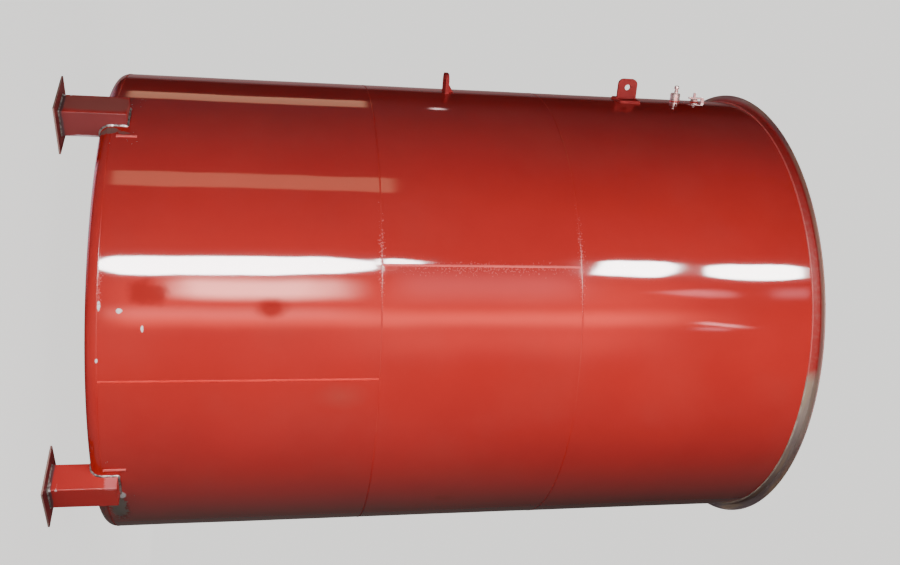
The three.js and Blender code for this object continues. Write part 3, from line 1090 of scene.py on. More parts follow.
def spatter_tree() -> bpy.types.NodeTree:
    """Small drops of weld spatter, scattered over a patch mesh and half sunk into it.

    Returns:
        The tree.
    """

    def build(wiring: Wiring, given: Any) -> bpy.types.NodeSocket:
        """Wires the tree.

        Args:
            wiring: The tree's wiring.
            given: Its inputs.

        Returns:
            The drops.
        """
        flattened = (1.0, 1.0, 0.55)
        patch = {"Mesh": given["Geometry"], "Density": given["Density"], "Seed": given["Seed"]}
        spread = wiring.node("GeometryNodeDistributePointsOnFaces", patch).outputs
        drop = wiring.node("GeometryNodeMeshIcoSphere", {"Radius": 1.0, "Subdivisions": 2}).outputs[0]
        flat = wiring.node("GeometryNodeTransform", {"Geometry": drop, "Scale": flattened}).outputs[0]
        sizes = {2: given["Smallest"], 3: given["Largest"], 8: given["Seed"]}
        size = wiring.node("FunctionNodeRandomValue", sizes, data_type="FLOAT").outputs[1]
        scattered = {"Points": spread["Points"], "Instance": flat, "Rotation": spread["Rotation"],
                     "Scale": wiring.combine(size, size, size)}
        return wiring.node("GeometryNodeInstanceOnPoints", scattered).outputs[0]

    inputs = [("Density", FLOAT, 500.0), ("Smallest", FLOAT, 0.0008), ("Largest", FLOAT, 0.0024),
              ("Seed", INTEGER, 3)]
    return geometry_tree("weld_spatter", inputs, build)


def level_way(turn: float) -> Vector:
    """Gives the level direction at an angle in radians, from +X towards +Y."""
    return Vector((math.cos(turn), math.sin(turn), 0.0))


@dataclass
class BeadPath:
    """The line that a weld bead follows, with the direction off the plate at each point."""

    points: list[Vector]
    outward: list[Vector]
    closed: bool = False

    @staticmethod
    def ring(radius: float, level: float, tilt: float = 0.0) -> "BeadPath":
        """A level ring round the tank.

        Args:
            radius: Its radius.
            level: Its level.
            tilt: How far its outward direction is turned up from level.

        Returns:
            The path.
        """
        count = 240
        lean = math.radians(tilt)
        points, outward = [], []
        for number in range(count):
            side = level_way(math.radians(FULL_TURN * number / count))
            points.append(side * radius + UP * level)
            outward.append(side * math.cos(lean) + UP * math.sin(lean))
        return BeadPath(points, outward, True)

    @staticmethod
    def upright(radius: float, angle: float, bottom: float, top: float) -> "BeadPath":
        """A straight seam up the shell.

        Args:
            radius: The shell's radius.
            angle: Its angle.
            bottom: The level at which it starts.
            top: The level at which it ends.

        Returns:
            The path.
        """
        step = 0.02
        side = level_way(math.radians(angle))
        count = max(2, round((top - bottom) / step))
        levels = [bottom + (top - bottom) * number / (count - 1) for number in range(count)]
        return BeadPath([side * radius + UP * level for level in levels], [side] * count)

    @staticmethod
    def round_stub(centre: Vector, axis: Vector, radius: float) -> "BeadPath":
        """A ring where a round stub meets a plate.

        Args:
            centre: The middle of the ring.
            axis: The stub's direction off the plate.
            radius: The stub's radius.

        Returns:
            The path, leaning half way between the plate and the stub.
        """
        step = 0.004
        across = axis.cross(UP).normalized()
        other = axis.cross(across).normalized()
        count = max(24, round(math.tau * radius / step))
        points, outward = [], []
        for number in range(count):
            turn = math.tau * number / count
            side = across * math.cos(turn) + other * math.sin(turn)
            points.append(centre + side * radius)
            outward.append((side + axis).normalized())
        return BeadPath(points, outward, True)

    @staticmethod
    def through(corners: Sequence[tuple[Vector, Vector]], closed: bool, step: float = 0.01) -> "BeadPath":
        """Straight runs through given corners.

        Args:
            corners: Each corner and the direction off the plate there.
            closed: Whether it comes back to its start.
            step: The length between points.

        Returns:
            The path.
        """
        points, outward = [], []
        runs = len(corners) if closed else len(corners) - 1
        for number in range(runs):
            here, here_out = corners[number]
            there, there_out = corners[(number + 1) % len(corners)]
            pieces = max(1, round((there - here).length / step))
            for piece in range(pieces):
                share = piece / pieces
                points.append(here.lerp(there, share))
                outward.append(here_out.lerp(there_out, share).normalized())
        if not closed:
            points.append(corners[-1][0].copy())
            outward.append(corners[-1][1].normalized())
        return BeadPath(points, outward, closed)


@dataclass
class Beads:
    """A family of weld beads that are dressed alike."""

    name: str
    material: bpy.types.Material
    slot: Slot
    half_width: float = 0.006
    height: float = 0.003
    ripple: float = 0.0016
    pitch: float = 0.008
    seed: float = 1.0
    paths: list[BeadPath] = field(default_factory=list)

    def build(self) -> bpy.types.Object:
        """Lays the beads.

        Returns:
            One object that holds them all.
        """
        points: list[Vector] = []
        outward: list[Vector] = []
        edges: list[tuple[int, int]] = []
        for path in self.paths:
            first = len(points)
            points.extend(path.points)
            outward.extend(path.outward)
            edges.extend((number, number + 1) for number in range(first, len(points) - 1))
            if path.closed:
                edges.append((len(points) - 1, first))
        line = bpy.data.meshes.new(self.name + "_line")
        line.from_pydata([tuple(point) for point in points], edges, [])
        aim = line.attributes.new("out", "FLOAT_VECTOR", "POINT")
        aim.data.foreach_set("vector", np.array([tuple(way) for way in outward], np.float32).ravel())
        values = {"Half Width": self.half_width, "Height": self.height, "Ripple": self.ripple,
                  "Pitch": self.pitch, "Seed": self.seed, "Material": self.material}
        mesh = grown_mesh(self.name, bead_tree(), values, line)
        return finished_object(self.name, mesh, self.material)


# Sub-assemblies


@dataclass
class SubAssembly:
    """What every sub-assembly shares: its finishes and how a piece is registered."""

    finishes: Finishes

    def keep(self, piece: bpy.types.Object, slot: Slot, *nodes: str) -> None:
        """Registers a piece with the frame and reports it.

        Args:
            piece: The piece.
            slot: The record's finish that it takes. Not used.
            nodes: The CAD nodes that it stands for.
        """
        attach(piece, BODY)
        if nodes:
            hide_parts(*nodes)
        replaced = ", ".join(nodes) or "no node"
        LOG.info("%s: %d faces, for %s", piece.name, len(piece.data.polygons), replaced)


class Side(Enum):
    """The two plates of a shell course."""

    RIGHT = "right"
    LEFT = "left"


@dataclass
class Shell(SubAssembly):
    """Three courses of rolled plate with their welds."""

    radius: float = 1.300
    wall: float = 0.006
    bottom: float = 0.255
    heights: tuple[float, float, float] = (1.325, 1.025, 1.330)
    seams: tuple[float, float, float] = (-73.0, -98.0, -6.0)
    names: tuple[str, str, str] = ("lower", "middle", "upper")
    gap: float = 0.0003
    waves: float = 0.0030
    weld_pull: float = 0.00015
    weld_reach: float = 0.020
    columns: int = 181
    row_pitch: float = 0.028
    bead_sink: float = 0.0012
    bead_end_gap: float = 0.004

    def levels(self) -> list[float]:
        """Returns the level of each course's lower edge, and last the top."""
        return [self.bottom + sum(self.heights[:number]) for number in range(len(self.heights) + 1)]

    def build(self) -> None:
        """Makes the plates and their beads."""
        levels = self.levels()
        gap_angle = math.degrees(self.gap / self.radius)
        for course, (name, seam) in enumerate(zip(self.names, self.seams)):
            height = self.heights[course]
            for number, side in enumerate(Side):
                values = {"Start": seam + 180.0 * number + gap_angle / 2, "Sweep": 180.0 - gap_angle,
                          "Bottom": levels[course] + self.gap / 2, "Height": height - self.gap,
                          "Radius": self.radius, "Wall": self.wall, "Waves": self.waves,
                          "Pull": self.weld_pull, "Reach": self.weld_reach, "Columns": self.columns,
                          "Rows": round(height / self.row_pitch) + 1, "Material": self.finishes.shell}
                label = f"{name}_course_{side.value}"
                mesh = grown_mesh(label, rolled_plate_tree(), values)
                plate = finished_object(label, mesh, self.finishes.shell)
                self.keep(plate, Slot.RED_PAINT, label + "_plate")
        self.build_beads(levels)

    def build_beads(self, levels: Sequence[float]) -> None:
        """Lays the seams' beads, which are painted over.

        Args:
            levels: The courses' edges.
        """
        line = self.radius - self.bead_sink
        rings = Beads("ring_seam_beads", self.finishes.seam, Slot.RED_PAINT, half_width=0.0048,
                      height=0.0022, ripple=0.0022)
        rings.paths = [BeadPath.ring(line, level) for level in levels[:-1]]
        # The upright seams' beads carry a painted highlight, the middle course's a painted reflection.
        uprights = Beads("upright_seam_beads", self.finishes.highlight_seam, Slot.RED_PAINT,
                         half_width=0.0062, height=0.0042, ripple=0.0052, pitch=0.010, seed=3.0)
        middles = Beads("middle_seam_beads", self.finishes.reflection_seam, Slot.RED_PAINT,
                        half_width=0.0066, height=0.0042, ripple=0.0052, pitch=0.010, seed=11.0)
        for course, seam in enumerate(self.seams):
            beads = middles if self.names[course] == "middle" else uprights
            bottom = levels[course] + self.bead_end_gap
            top = levels[course + 1] - self.bead_end_gap
            beads.paths += [BeadPath.upright(line, seam + turn, bottom, top) for turn in (0.0, 180.0)]
        for beads in (rings, uprights, middles):
            self.keep(beads.build(), beads.slot)


@dataclass
class BottomHead(SubAssembly):
    """The shallow dished bottom with its tight knuckle."""

    radius: float = 1.300
    wall: float = 0.008
    top: float = 0.255
    knuckle: float = 0.060
    dish: float = 0.065
    crown_steps: int = 24
    knuckle_steps: int = 14

    def profile(self, inset: float) -> list[tuple[float, float]]:
        """Works out the curve from the middle to the rim.

        Args:
            inset: How far inside the outer surface it runs.

        Returns:
            Radius and level of its points.
        """
        flat = self.radius - self.knuckle
        crown = (flat ** 2 + self.dish ** 2) / (2 * self.dish)
        low = self.top - self.knuckle - self.dish
        centre = low + crown
        reach = math.asin(flat / crown)
        points: list[tuple[float, float]] = []
        for step in range(self.crown_steps + 1):
            turn = reach * step / self.crown_steps
            points.append(((crown - inset) * math.sin(turn), centre - (crown - inset) * math.cos(turn)))
        bend = self.knuckle - inset
        for step in range(1, self.knuckle_steps + 1):
            turn = math.radians(90.0 * step / self.knuckle_steps)
            points.append((flat + bend * math.sin(turn), self.top - bend * math.cos(turn)))
        return points

    def build(self) -> None:
        """Makes the head."""
        outline = self.profile(0.0) + self.profile(self.wall)[::-1]
        dish = finished_object("bottom_dish", turned_mesh("bottom_dish", outline), self.finishes.shell)
        self.keep(dish, Slot.RED_PAINT, "bottom_head")


@dataclass
class CurbAngle(SubAssembly):
    """The steel angle round the top edge, toe out."""

    shell_radius: float = 1.3003
    leg: float = 0.045
    thickness: float = 0.005
    edge: float = 0.0012
    fillet: float = 0.004
    fillet_depth: float = 0.001
    top: float = 3.935
    parts: int = 4
    first_joint: float = -6.0
    gap: float = 0.0003
    bead_offset: float = 0.001

    def build(self) -> None:
        """Makes the lengths and the bead below them."""
        inner = self.shell_radius
        toe = inner + self.leg
        root = inner + self.thickness
        bottom = self.top - self.leg
        under = self.top - self.thickness
        outline = [(inner, bottom), (root - self.edge, bottom), (root, bottom + self.edge),
                   (root, under - self.fillet), (root + self.fillet_depth, under - self.fillet_depth),
                   (root + self.fillet, under), (toe - self.edge, under), (toe, under + self.edge),
                   (toe, self.top - self.edge), (toe - self.edge, self.top), (inner, self.top)]
        share = FULL_TURN / self.parts
        gap_angle = math.degrees(self.gap / inner)
        for part in range(self.parts):
            start = self.first_joint + share * (part + 0.5) + gap_angle / 2
            name = f"curb_length_{part + 1}"
            mesh = turned_mesh(name, outline, start, share - gap_angle, steps=72)
            length = finished_object(name, mesh, self.finishes.curb)
            self.keep(length, Slot.BROWN_STEEL, f"curb_angle_{part + 1}")
        beads = Beads("curb_bead", self.finishes.highlit_ridge, Slot.BROWN_STEEL, half_width=0.005,
                      height=0.004, seed=2.0)
        beads.paths = [BeadPath.ring(inner + self.bead_offset, bottom - self.bead_offset, tilt=-45.0)]
        self.keep(beads.build(), beads.slot)


@dataclass
class Roof(SubAssembly):
    """A low cone of four sectors with a crown plate."""

    wall: float = 0.005
    base: float = 3.935
    rise: float = 0.150
    brim: float = 1.3403
    knee: float = 1.2903
    collar: float = 0.270
    hole: float = 0.220
    crown_radius: float = 0.260
    crown_wall: float = 0.006
    sectors: int = 4
    gap: float = 0.0003
    edge: float = 0.001
    bead_sink: float = 0.0005
    bead_inset: float = 0.002
    bead_step: float = 0.02
    brim_bead_rise: float = 0.001

    def build(self) -> None:
        """Makes the sectors, the crown plate and their beads."""
        low = [(self.hole, self.base + self.rise), (self.collar, self.base + self.rise),
               (self.knee, self.base), (self.brim, self.base)]
        high = [(radius, level + self.wall) for radius, level in reversed(low)]
        share = FULL_TURN / self.sectors
        gap_angle = math.degrees(self.gap / self.hole)
        for sector in range(self.sectors):
            start = share * sector + gap_angle / 2
            name = f"roof_plate_{sector + 1}"
            mesh = turned_mesh(name, low + high, start, share - gap_angle, steps=60)
            plate = finished_object(name, mesh, self.finishes.enamel)
            self.keep(plate, Slot.RED_PAINT, f"roof_sector_{sector + 1}")
        top = self.base + self.rise + self.wall
        face = top + self.crown_wall
        crown = [(0.0, top), (self.crown_radius, top), (self.crown_radius, face - self.edge),
                 (self.crown_radius - self.edge, face), (0.0, face)]
        mesh = turned_mesh("crown_disc", crown, steps=120)
        disc = finished_object("crown_disc", mesh, self.finishes.enamel)
        self.keep(disc, Slot.RED_PAINT, "roof_crown_plate")
        self.build_beads(top)

    def build_beads(self, top: float) -> None:
        """Lays the beads between the sectors, round the crown plate and at the brim.

        Args:
            top: The level of the crown plate's underside.
        """
        beads = Beads("roof_beads", self.finishes.enamel, Slot.RED_PAINT, half_width=0.0060,
                      height=0.0028, seed=9.0)
        slope = math.atan2(self.rise, self.knee - self.collar)
        way = Vector((math.sin(slope), 0.0, math.cos(slope)))
        face = self.base + self.wall - self.bead_sink
        edge = Vector((self.brim - self.bead_inset, 0.0, face))
        low = Vector((self.knee, 0.0, face))
        high = Vector((self.collar, 0.0, top - self.bead_sink))
        for sector in range(self.sectors):
            turn = Matrix.Rotation(math.tau * sector / self.sectors, 3, "Z")
            corners = [(turn @ edge, UP), (turn @ low, UP), (turn @ high, turn @ way)]
            beads.paths.append(BeadPath.through(corners, False, self.bead_step))
        beads.paths.append(BeadPath.ring(self.crown_radius, top, tilt=45.0))
        beads.paths.append(BeadPath.ring(self.brim, self.base + self.brim_bead_rise, tilt=45.0))
        self.keep(beads.build(), beads.slot)


@dataclass
class Legs(SubAssembly):
    """Four short box legs on foot plates."""

    radius: float = 1.295
    size: float = 0.150
    corner: float = 0.006
    foot: float = 0.280
    foot_thickness: float = 0.010
    top: float = 0.329
    shell_radius: float = 1.300
    shell_bottom: float = 0.255
    knuckle: float = 0.060
    knuckle_steps: int = 8
    dish_overlap: float = 0.017
    cap_edge: float = 0.0012
    foot_edge: float = 0.0015
    bead_offset: float = 0.001
    bead_step: float = 0.006
    upper_stray: tuple[float, float, float] = (6.6, 0.284, 0.383)
    lower_stray: tuple[float, float, float] = (-5.3, 0.262, 0.369)
    spatter_spans: tuple[tuple[float, float], ...] = ((-8.0, -3.6), (3.6, 9.0))
    spatter_levels: tuple[float, float] = (0.258, 0.400)
    spatter_density: float = 900.0
    smallest_drop: float = 0.0008
    largest_drop: float = 0.0026
    spatter_seed: int = 3

    def build(self, nodes: dict[str, bpy.types.Object]) -> None:
        """Makes the boxes, caps and foot plates with their beads and spatter.

        Args:
            nodes: The frame's nodes.
        """
        notch = Beads("leg_notch_beads", self.finishes.weld, Slot.BROWN_STEEL, half_width=0.0098,
                      height=0.0065, ripple=0.0055, pitch=0.006, seed=4.0)
        feet = Beads("foot_beads", self.finishes.weld, Slot.BROWN_STEEL, half_width=0.0060,
                     height=0.0045, ripple=0.0030, pitch=0.006, seed=5.0)
        # The stray beads take the painted reflection colour of the middle seam.
        strays = Beads("stray_beads", self.finishes.reflection_seam, Slot.RED_PAINT, half_width=0.0085,
                       height=0.0070, ripple=0.0060, seed=6.0)
        line = self.shell_radius - self.bead_offset
        for number, angle in enumerate(LEG_ANGLES, start=1):
            turn = Matrix.Rotation(math.radians(angle), 4, "Z")
            self.build_pieces(nodes, number, turn)
            notch.paths.append(self.notch_path(turn.to_3x3()))
            feet.paths.append(self.foot_path(turn.to_3x3()))
            aside, bottom, top = self.upper_stray if number % 2 else self.lower_stray
            strays.paths.append(BeadPath.upright(line, angle + aside, bottom, top))
        for beads in (notch, feet, strays):
            self.keep(beads.build(), beads.slot)
        self.build_spatter()

    def build_pieces(self, nodes: dict[str, bpy.types.Object], number: int, turn: Matrix) -> None:
        """Makes one leg's box, cap and foot plate.

        Args:
            nodes: The frame's nodes.
            number: The leg's number.
            turn: The turn that brings +X to the leg.
        """
        mesh = smooth_copy(nodes[f"leg_{number}_box"], f"box_{number}")
        box = keep_flats_flat(finished_object(f"box_{number}", mesh, self.finishes.leg))
        self.keep(box, Slot.RED_PAINT, f"leg_{number}_box")
        mesh = smooth_copy(nodes[f"leg_{number}_cap"], f"box_cap_{number}", self.cap_edge)
        cap = keep_flats_flat(finished_object(f"box_cap_{number}", mesh, self.finishes.leg))
        self.keep(cap, Slot.BROWN_STEEL, f"leg_{number}_cap")
        size = (self.foot, self.foot, self.foot_thickness)
        place = turn @ Matrix.Translation((self.radius, 0.0, self.foot_thickness / 2))
        mesh = bevelled_box(f"foot_{number}", size, place, self.foot_edge)
        foot = keep_flats_flat(finished_object(f"foot_{number}", mesh, self.finishes.foot))
        self.keep(foot, Slot.RED_PAINT, f"leg_{number}_foot_plate")

    def shell_line(self) -> list[tuple[float, float, Vector]]:
        """Works out the tank's outline beside a leg, from its inner face round the knuckle to its top.

        Returns:
            Radius, level and outward direction of each point.
        """
        flat = self.shell_radius - self.knuckle
        line = [(flat - self.dish_overlap, self.shell_bottom - self.knuckle, Vector((0.0, 0.0, -1.0)))]
        for step in range(self.knuckle_steps + 1):
            slope = math.radians(90.0 - 90.0 * step / self.knuckle_steps)
            out, down = math.cos(slope), math.sin(slope)
            line.append((flat + self.knuckle * out, self.shell_bottom - self.knuckle * down,
                         Vector((out, 0.0, -down))))
        line.append((self.shell_radius, self.top + self.bead_offset, Vector((1.0, 0.0, 0.0))))
        return line

    def notch_path(self, turn: Matrix) -> BeadPath:
        """Runs up one side of the box beside the shell, over its cap and down the other side.

        Args:
            turn: The turn that brings +X to the leg.

        Returns:
            The path.
        """
        half = self.size / 2
        runs: list[list[tuple[Vector, Vector]]] = []
        for side in (-1.0, 1.0):
            aside = Vector((0.0, side, 0.0))
            runs.append([(Vector((math.sqrt(radius ** 2 - half ** 2), side * half, level)), way + aside)
                         for radius, level, way in self.shell_line()])
        over: list[tuple[Vector, Vector]] = []
        for share in (-0.6, -0.2, 0.2, 0.6):
            across = share * half
            out = math.sqrt(self.shell_radius ** 2 - across ** 2)
            over.append((Vector((out, across, self.top + self.bead_offset)), Vector((1.0, 0.0, 1.0))))
        corners = [(turn @ point, turn @ way) for point, way in runs[0] + over + runs[1][::-1]]
        return BeadPath.through(corners, False, self.bead_step)

    def foot_path(self, turn: Matrix) -> BeadPath:
        """Runs round the box where it stands on its foot plate.

        Args:
            turn: The turn that brings +X to the leg.

        Returns:
            The path.
        """
        inner = self.size / 2 - self.corner
        root = Vector((self.radius, 0.0, self.foot_thickness + self.bead_offset))
        corners: list[tuple[Vector, Vector]] = []
        for quarter in range(4):
            middle = math.radians(90.0 * quarter + 45.0)
            centre = Vector((math.copysign(inner, math.cos(middle)),
                             math.copysign(inner, math.sin(middle)), 0.0))
            for step in range(3):
                side = level_way(math.radians(90.0 * quarter + 45.0 * step))
                point = centre + side * self.corner + root
                corners.append((turn @ point, turn @ (side + UP)))
        return BeadPath.through(corners, True, self.bead_step)

    def build_spatter(self) -> None:
        """Scatters weld spatter on the shell beside each leg."""
        points: list[tuple[float, float, float]] = []
        faces: list[tuple[int, ...]] = []
        for angle in LEG_ANGLES:
            for span in self.spatter_spans:
                first = len(points)
                for turn in span:
                    way = math.radians(angle + turn)
                    x, y = self.shell_radius * math.cos(way), self.shell_radius * math.sin(way)
                    points.extend((x, y, level) for level in self.spatter_levels)
                faces.append((first, first + 2, first + 3, first + 1))
        patch = bpy.data.meshes.new("spatter_patch")
        patch.from_pydata(points, [], faces)
        values = {"Density": self.spatter_density, "Smallest": self.smallest_drop,
                  "Largest": self.largest_drop, "Seed": self.spatter_seed, "Material": self.finishes.weld}
        mesh = grown_mesh("weld_spatter", spatter_tree(), values, patch)
        self.keep(finished_object("weld_spatter", mesh, self.finishes.weld), Slot.BROWN_STEEL)


@dataclass
class Lugs(SubAssembly):
    """The lifting and tailing lugs."""

    angles: tuple[float, float] = (201.0, 21.0)
    shell_radius: float = 1.3003
    pad_half_width: float = 0.080
    pad_half_height: float = 0.0625
    pad_face: float = 1.3143
    lifting_level: float = 3.162
    lifting_half_width: float = 0.060
    lifting_half_thickness: float = 0.009
    tailing_level: float = 2.044
    tailing_half_width: float = 0.055
    tailing_half_thickness: float = 0.010
    edge: float = 0.0015
    bead_step: float = 0.005

    def build(self, nodes: dict[str, bpy.types.Object]) -> None:
        """Makes the lugs with their beads.

        Args:
            nodes: The frame's nodes.
        """
        for name in sorted(nodes):
            if "lug" in name:
                label = name.replace("_lug", "")
                mesh = smooth_copy(nodes[name], label, self.edge)
                piece = keep_flats_flat(finished_object(label, mesh, self.finishes.lug))
                self.keep(piece, Slot.RED_PAINT, name)
        beads = Beads("lug_beads", self.finishes.lug, Slot.RED_PAINT, half_width=0.0055,
                      height=0.0045, seed=7.0)
        pad = (self.shell_radius, self.lifting_level, self.pad_half_width, self.pad_half_height)
        lifting = (self.pad_face, self.lifting_level, self.lifting_half_thickness, self.lifting_half_width)
        tailing = (self.shell_radius, self.tailing_level, self.tailing_half_width,
                   self.tailing_half_thickness)
        for angle in self.angles:
            turn = Matrix.Rotation(math.radians(angle), 3, "Z")
            beads.paths += [self.plate_path(turn, *root) for root in (pad, lifting, tailing)]
        self.keep(beads.build(), beads.slot)

    def plate_path(self, turn: Matrix, radius: float, level: float, half_width: float,
                   half_height: float) -> BeadPath:
        """Runs round a rectangle that stands on a round surface.

        Args:
            turn: The turn that brings +X to the middle of the rectangle.
            radius: The surface's radius.
            level: The level of its middle.
            half_width: Half its length round the surface.
            half_height: Half its height.

        Returns:
            The path.
        """
        reach = half_width / radius
        corners: list[tuple[Vector, Vector]] = []
        for side in (-1.0, 1.0):
            for step in range(5):
                angle = side * reach * (step - 2) / 2
                out = level_way(angle)
                lean = out + UP * side
                if step in (0, 4):
                    lean = lean + Vector((0.0, math.copysign(1.0, angle), 0.0))
                corners.append((turn @ (out * radius + UP * (level + side * half_height)), turn @ lean))
        return BeadPath.through(corners, True, self.bead_step)


@dataclass
class SideFittings(SubAssembly):
    """The closed coupling with its neck, and the small valve with its lever."""

    angle: float = 198.0
    base: float = 1.3003
    coupling_level: float = 3.509
    coupling_radius: float = 0.030
    coupling_length: float = 0.050
    neck_radius: float = 0.015
    neck_length: float = 0.046
    neck_offset: float = 0.004
    valve_level: float = 3.637
    valve_radius: float = 0.024
    valve_length: float = 0.020
    lever_edge: float = 0.0015
    gap: float = 0.0003

    def place(self, radius: float, level: float) -> Matrix:
        """Works out where a round part stands, its own axis along the shell's outward direction.

        Args:
            radius: How far from the tank's axis its root is.
            level: The level of its axis.

        Returns:
            The matrix.
        """
        turn = Matrix.Rotation(math.radians(self.angle), 4, "Z")
        return turn @ Matrix.Translation((radius, 0.0, level)) @ Matrix.Rotation(math.radians(90.0), 4, "Y")

    def round_part(self, name: str, profile: Sequence[tuple[float, float]], place: Matrix, node: str,
                   steps: int = 48) -> None:
        """Makes one round part.

        Args:
            name: Its name.
            profile: Radius and distance along its own axis of each corner.
            place: Where it stands.
            node: The CAD node that it stands for.
            steps: How many flats it has round its axis.
        """
        mesh = turned_mesh(name, profile, steps=steps)
        mesh.transform(place)
        piece = keep_flats_flat(finished_object(name, mesh, self.finishes.zinc))
        self.keep(piece, Slot.BRIGHT_STEEL, node)

    def build(self, nodes: dict[str, bpy.types.Object]) -> None:
        """Makes the fittings and the beads round them.

        Args:
            nodes: The frame's nodes.
        """
        big, long = self.coupling_radius, self.coupling_length
        body = [(0.0, 0.0), (big - 0.001, 0.0), (big, 0.002), (big, 0.020), (big - 0.0015, 0.0215),
                (big - 0.0015, 0.0265), (big, 0.028), (big, long - 0.005), (big - 0.005, long), (0.0, long)]
        place = self.place(self.base, self.coupling_level)
        self.round_part("coupling_body", body, place, "side_coupling")
        slim, tall = self.neck_radius, self.neck_length
        neck = [(0.0, 0.0), (slim - 0.003, 0.0), (slim - 0.003, 0.014), (slim - 0.0055, 0.017),
                (slim - 0.0055, 0.024), (slim, 0.027), (slim, tall - 0.008), (slim - 0.0025, tall - 0.003),
                (slim - 0.007, tall), (0.0, tall)]
        place = self.place(self.base + long + self.gap, self.coupling_level + self.neck_offset)
        self.round_part("coupling_neck", neck, place, "side_coupling_neck")
        small, low = self.valve_radius, self.valve_length
        valve = [(0.0, 0.0), (small - 0.004, 0.0), (small - 0.004, 0.005), (small, 0.007),
                 (small, low - 0.004), (small - 0.004, low), (0.0, low)]
        place = self.place(self.base, self.valve_level)
        self.round_part("valve_body", valve, place, "side_valve_body", steps=6)
        mesh = smooth_copy(nodes["side_valve_lever"], "valve_lever", self.lever_edge)
        lever = keep_flats_flat(finished_object("valve_lever", mesh, self.finishes.zinc))
        self.keep(lever, Slot.BRIGHT_STEEL, "side_valve_lever")
        self.build_beads()

    def build_beads(self) -> None:
        """Lays the beads where the fittings meet the shell."""
        beads = Beads("fitting_beads", self.finishes.enamel, Slot.RED_PAINT, half_width=0.0045,
                      height=0.0038, pitch=0.005, seed=8.0)
        axis = Matrix.Rotation(math.radians(self.angle), 3, "Z") @ Vector((1.0, 0.0, 0.0))
        coupling = (self.coupling_level, self.coupling_radius)
        valve = (self.valve_level, self.valve_radius)
        for level, radius in (coupling, valve):
            beads.paths.append(BeadPath.round_stub(axis * self.base + UP * level, axis, radius))
        self.keep(beads.build(), beads.slot)


# Studio


@dataclass(frozen=True)
class PhotoView:
    """The photograph's camera, worked out from the tank's outline."""

    image_width: int = 900
    image_height: int = 565
    focal_pixels: float = 979.09
    middle_row: float = 232.0
    sensor: float = 36.0
    location: tuple[float, float, float] = (-0.0939, -6.0547, 0.9682)
    right: tuple[float, float, float] = (-0.00865, -0.19550, 0.98066)
    down: tuple[float, float, float] = (0.99859, 0.04958, 0.01869)
    forward: tuple[float, float, float] = (-0.05228, 0.97945, 0.19480)

    def build(self) -> None:
        """Makes the camera and makes it the scene's."""
        data = bpy.data.cameras.new("photo_camera")
        data.sensor_width = self.sensor
        data.lens = self.focal_pixels * self.sensor / self.image_width
        data.shift_y = (self.middle_row - self.image_height / 2) / self.image_width
        camera = bpy.data.objects.new("photo_camera", data)
        turn = Matrix((self.right, -Vector(self.down), -Vector(self.forward))).transposed()
        camera.matrix_world = Matrix.Translation(self.location) @ turn.to_4x4()
        bpy.context.scene.collection.objects.link(camera)
        bpy.context.scene.camera = camera


class PanelUse(Enum):
    """What a soft panel is for: lighting the paint evenly, or being mirrored in its gloss."""

    WASH = "wash"
    MIRRORED = "mirrored"


@dataclass(frozen=True)
class SoftPanel:
    """An upright soft light that faces the tank's axis."""

    name: str
    azimuth: float
    distance: float
    width: float
    low: float
    high: float
    radiance: float
    use: PanelUse = PanelUse.MIRRORED
    colour: Colour = (1.0, 1.0, 1.0)
    soft_sides: tuple[float, float] = (0.1, 0.1)
    soft_ends: tuple[float, float] = (0.05, 0.05)
    lean: float = 0.0
    outline: tuple[tuple[float, float], ...] = ()

    def soften(self, data: bpy.types.Light) -> None:
        """Fades the panel out towards its edges, inside its outline where it has one.

        Args:
            data: The light.
        """
        data.use_nodes = True
        data.node_tree.nodes.clear()
        wiring = Wiring(data.node_tree)
        across, along, _ = wiring.split(wiring.node("ShaderNodeNewGeometry").outputs["Parametric"])
        mask: Any = 1.0
        if self.outline:
            width = wiring.stops(along, [(place, (share, share, share)) for place, share in self.outline])
            far = wiring.math("ABSOLUTE", wiring.math("MULTIPLY_ADD", across, 2.0, -1.0))
            mask = wiring.ramp(far, wiring.math("SUBTRACT", width, self.soft_sides[0]), width, 1.0, 0.0)
        for place, (start, end) in ((across, self.soft_sides), (along, self.soft_ends)):
            mask = wiring.math("MULTIPLY", mask, wiring.ramp(place, 0.0, start))
            mask = wiring.math("MULTIPLY", mask, wiring.ramp(place, 1.0 - end, 1.0, 1.0, 0.0))
        emission = wiring.node("ShaderNodeEmission", {"Strength": mask}).outputs[0]
        wiring.node("ShaderNodeOutputLight", {"Surface": emission})

    def build(self) -> None:
        """Makes the light."""
        data = bpy.data.lights.new(self.name, "AREA")
        data.shape = "RECTANGLE"
        data.size = self.width
        data.size_y = self.high - self.low
        data.energy = self.radiance * math.pi * data.size * data.size_y
        data.color = self.colour
        if self.use is PanelUse.MIRRORED:
            self.soften(data)
        light = bpy.data.objects.new(self.name, data)
        out = level_way(math.radians(self.azimuth))
        middle = out * self.distance + UP * ((self.low + self.high) / 2)
        side = UP.cross(out)
        cosine, sine = math.cos(math.radians(self.lean)), math.sin(math.radians(self.lean))
        turn = Matrix((side * cosine + UP * sine, UP * cosine - side * sine, out)).transposed()
        light.matrix_world = Matrix.Translation(middle) @ turn.to_4x4()
        light.visible_camera = False
        light.visible_diffuse = self.use is not PanelUse.MIRRORED
        light.visible_glossy = self.use is not PanelUse.WASH
        bpy.context.scene.collection.objects.link(light)


NEAR_WALL = 10.3
SIDE_WALL = 10.0


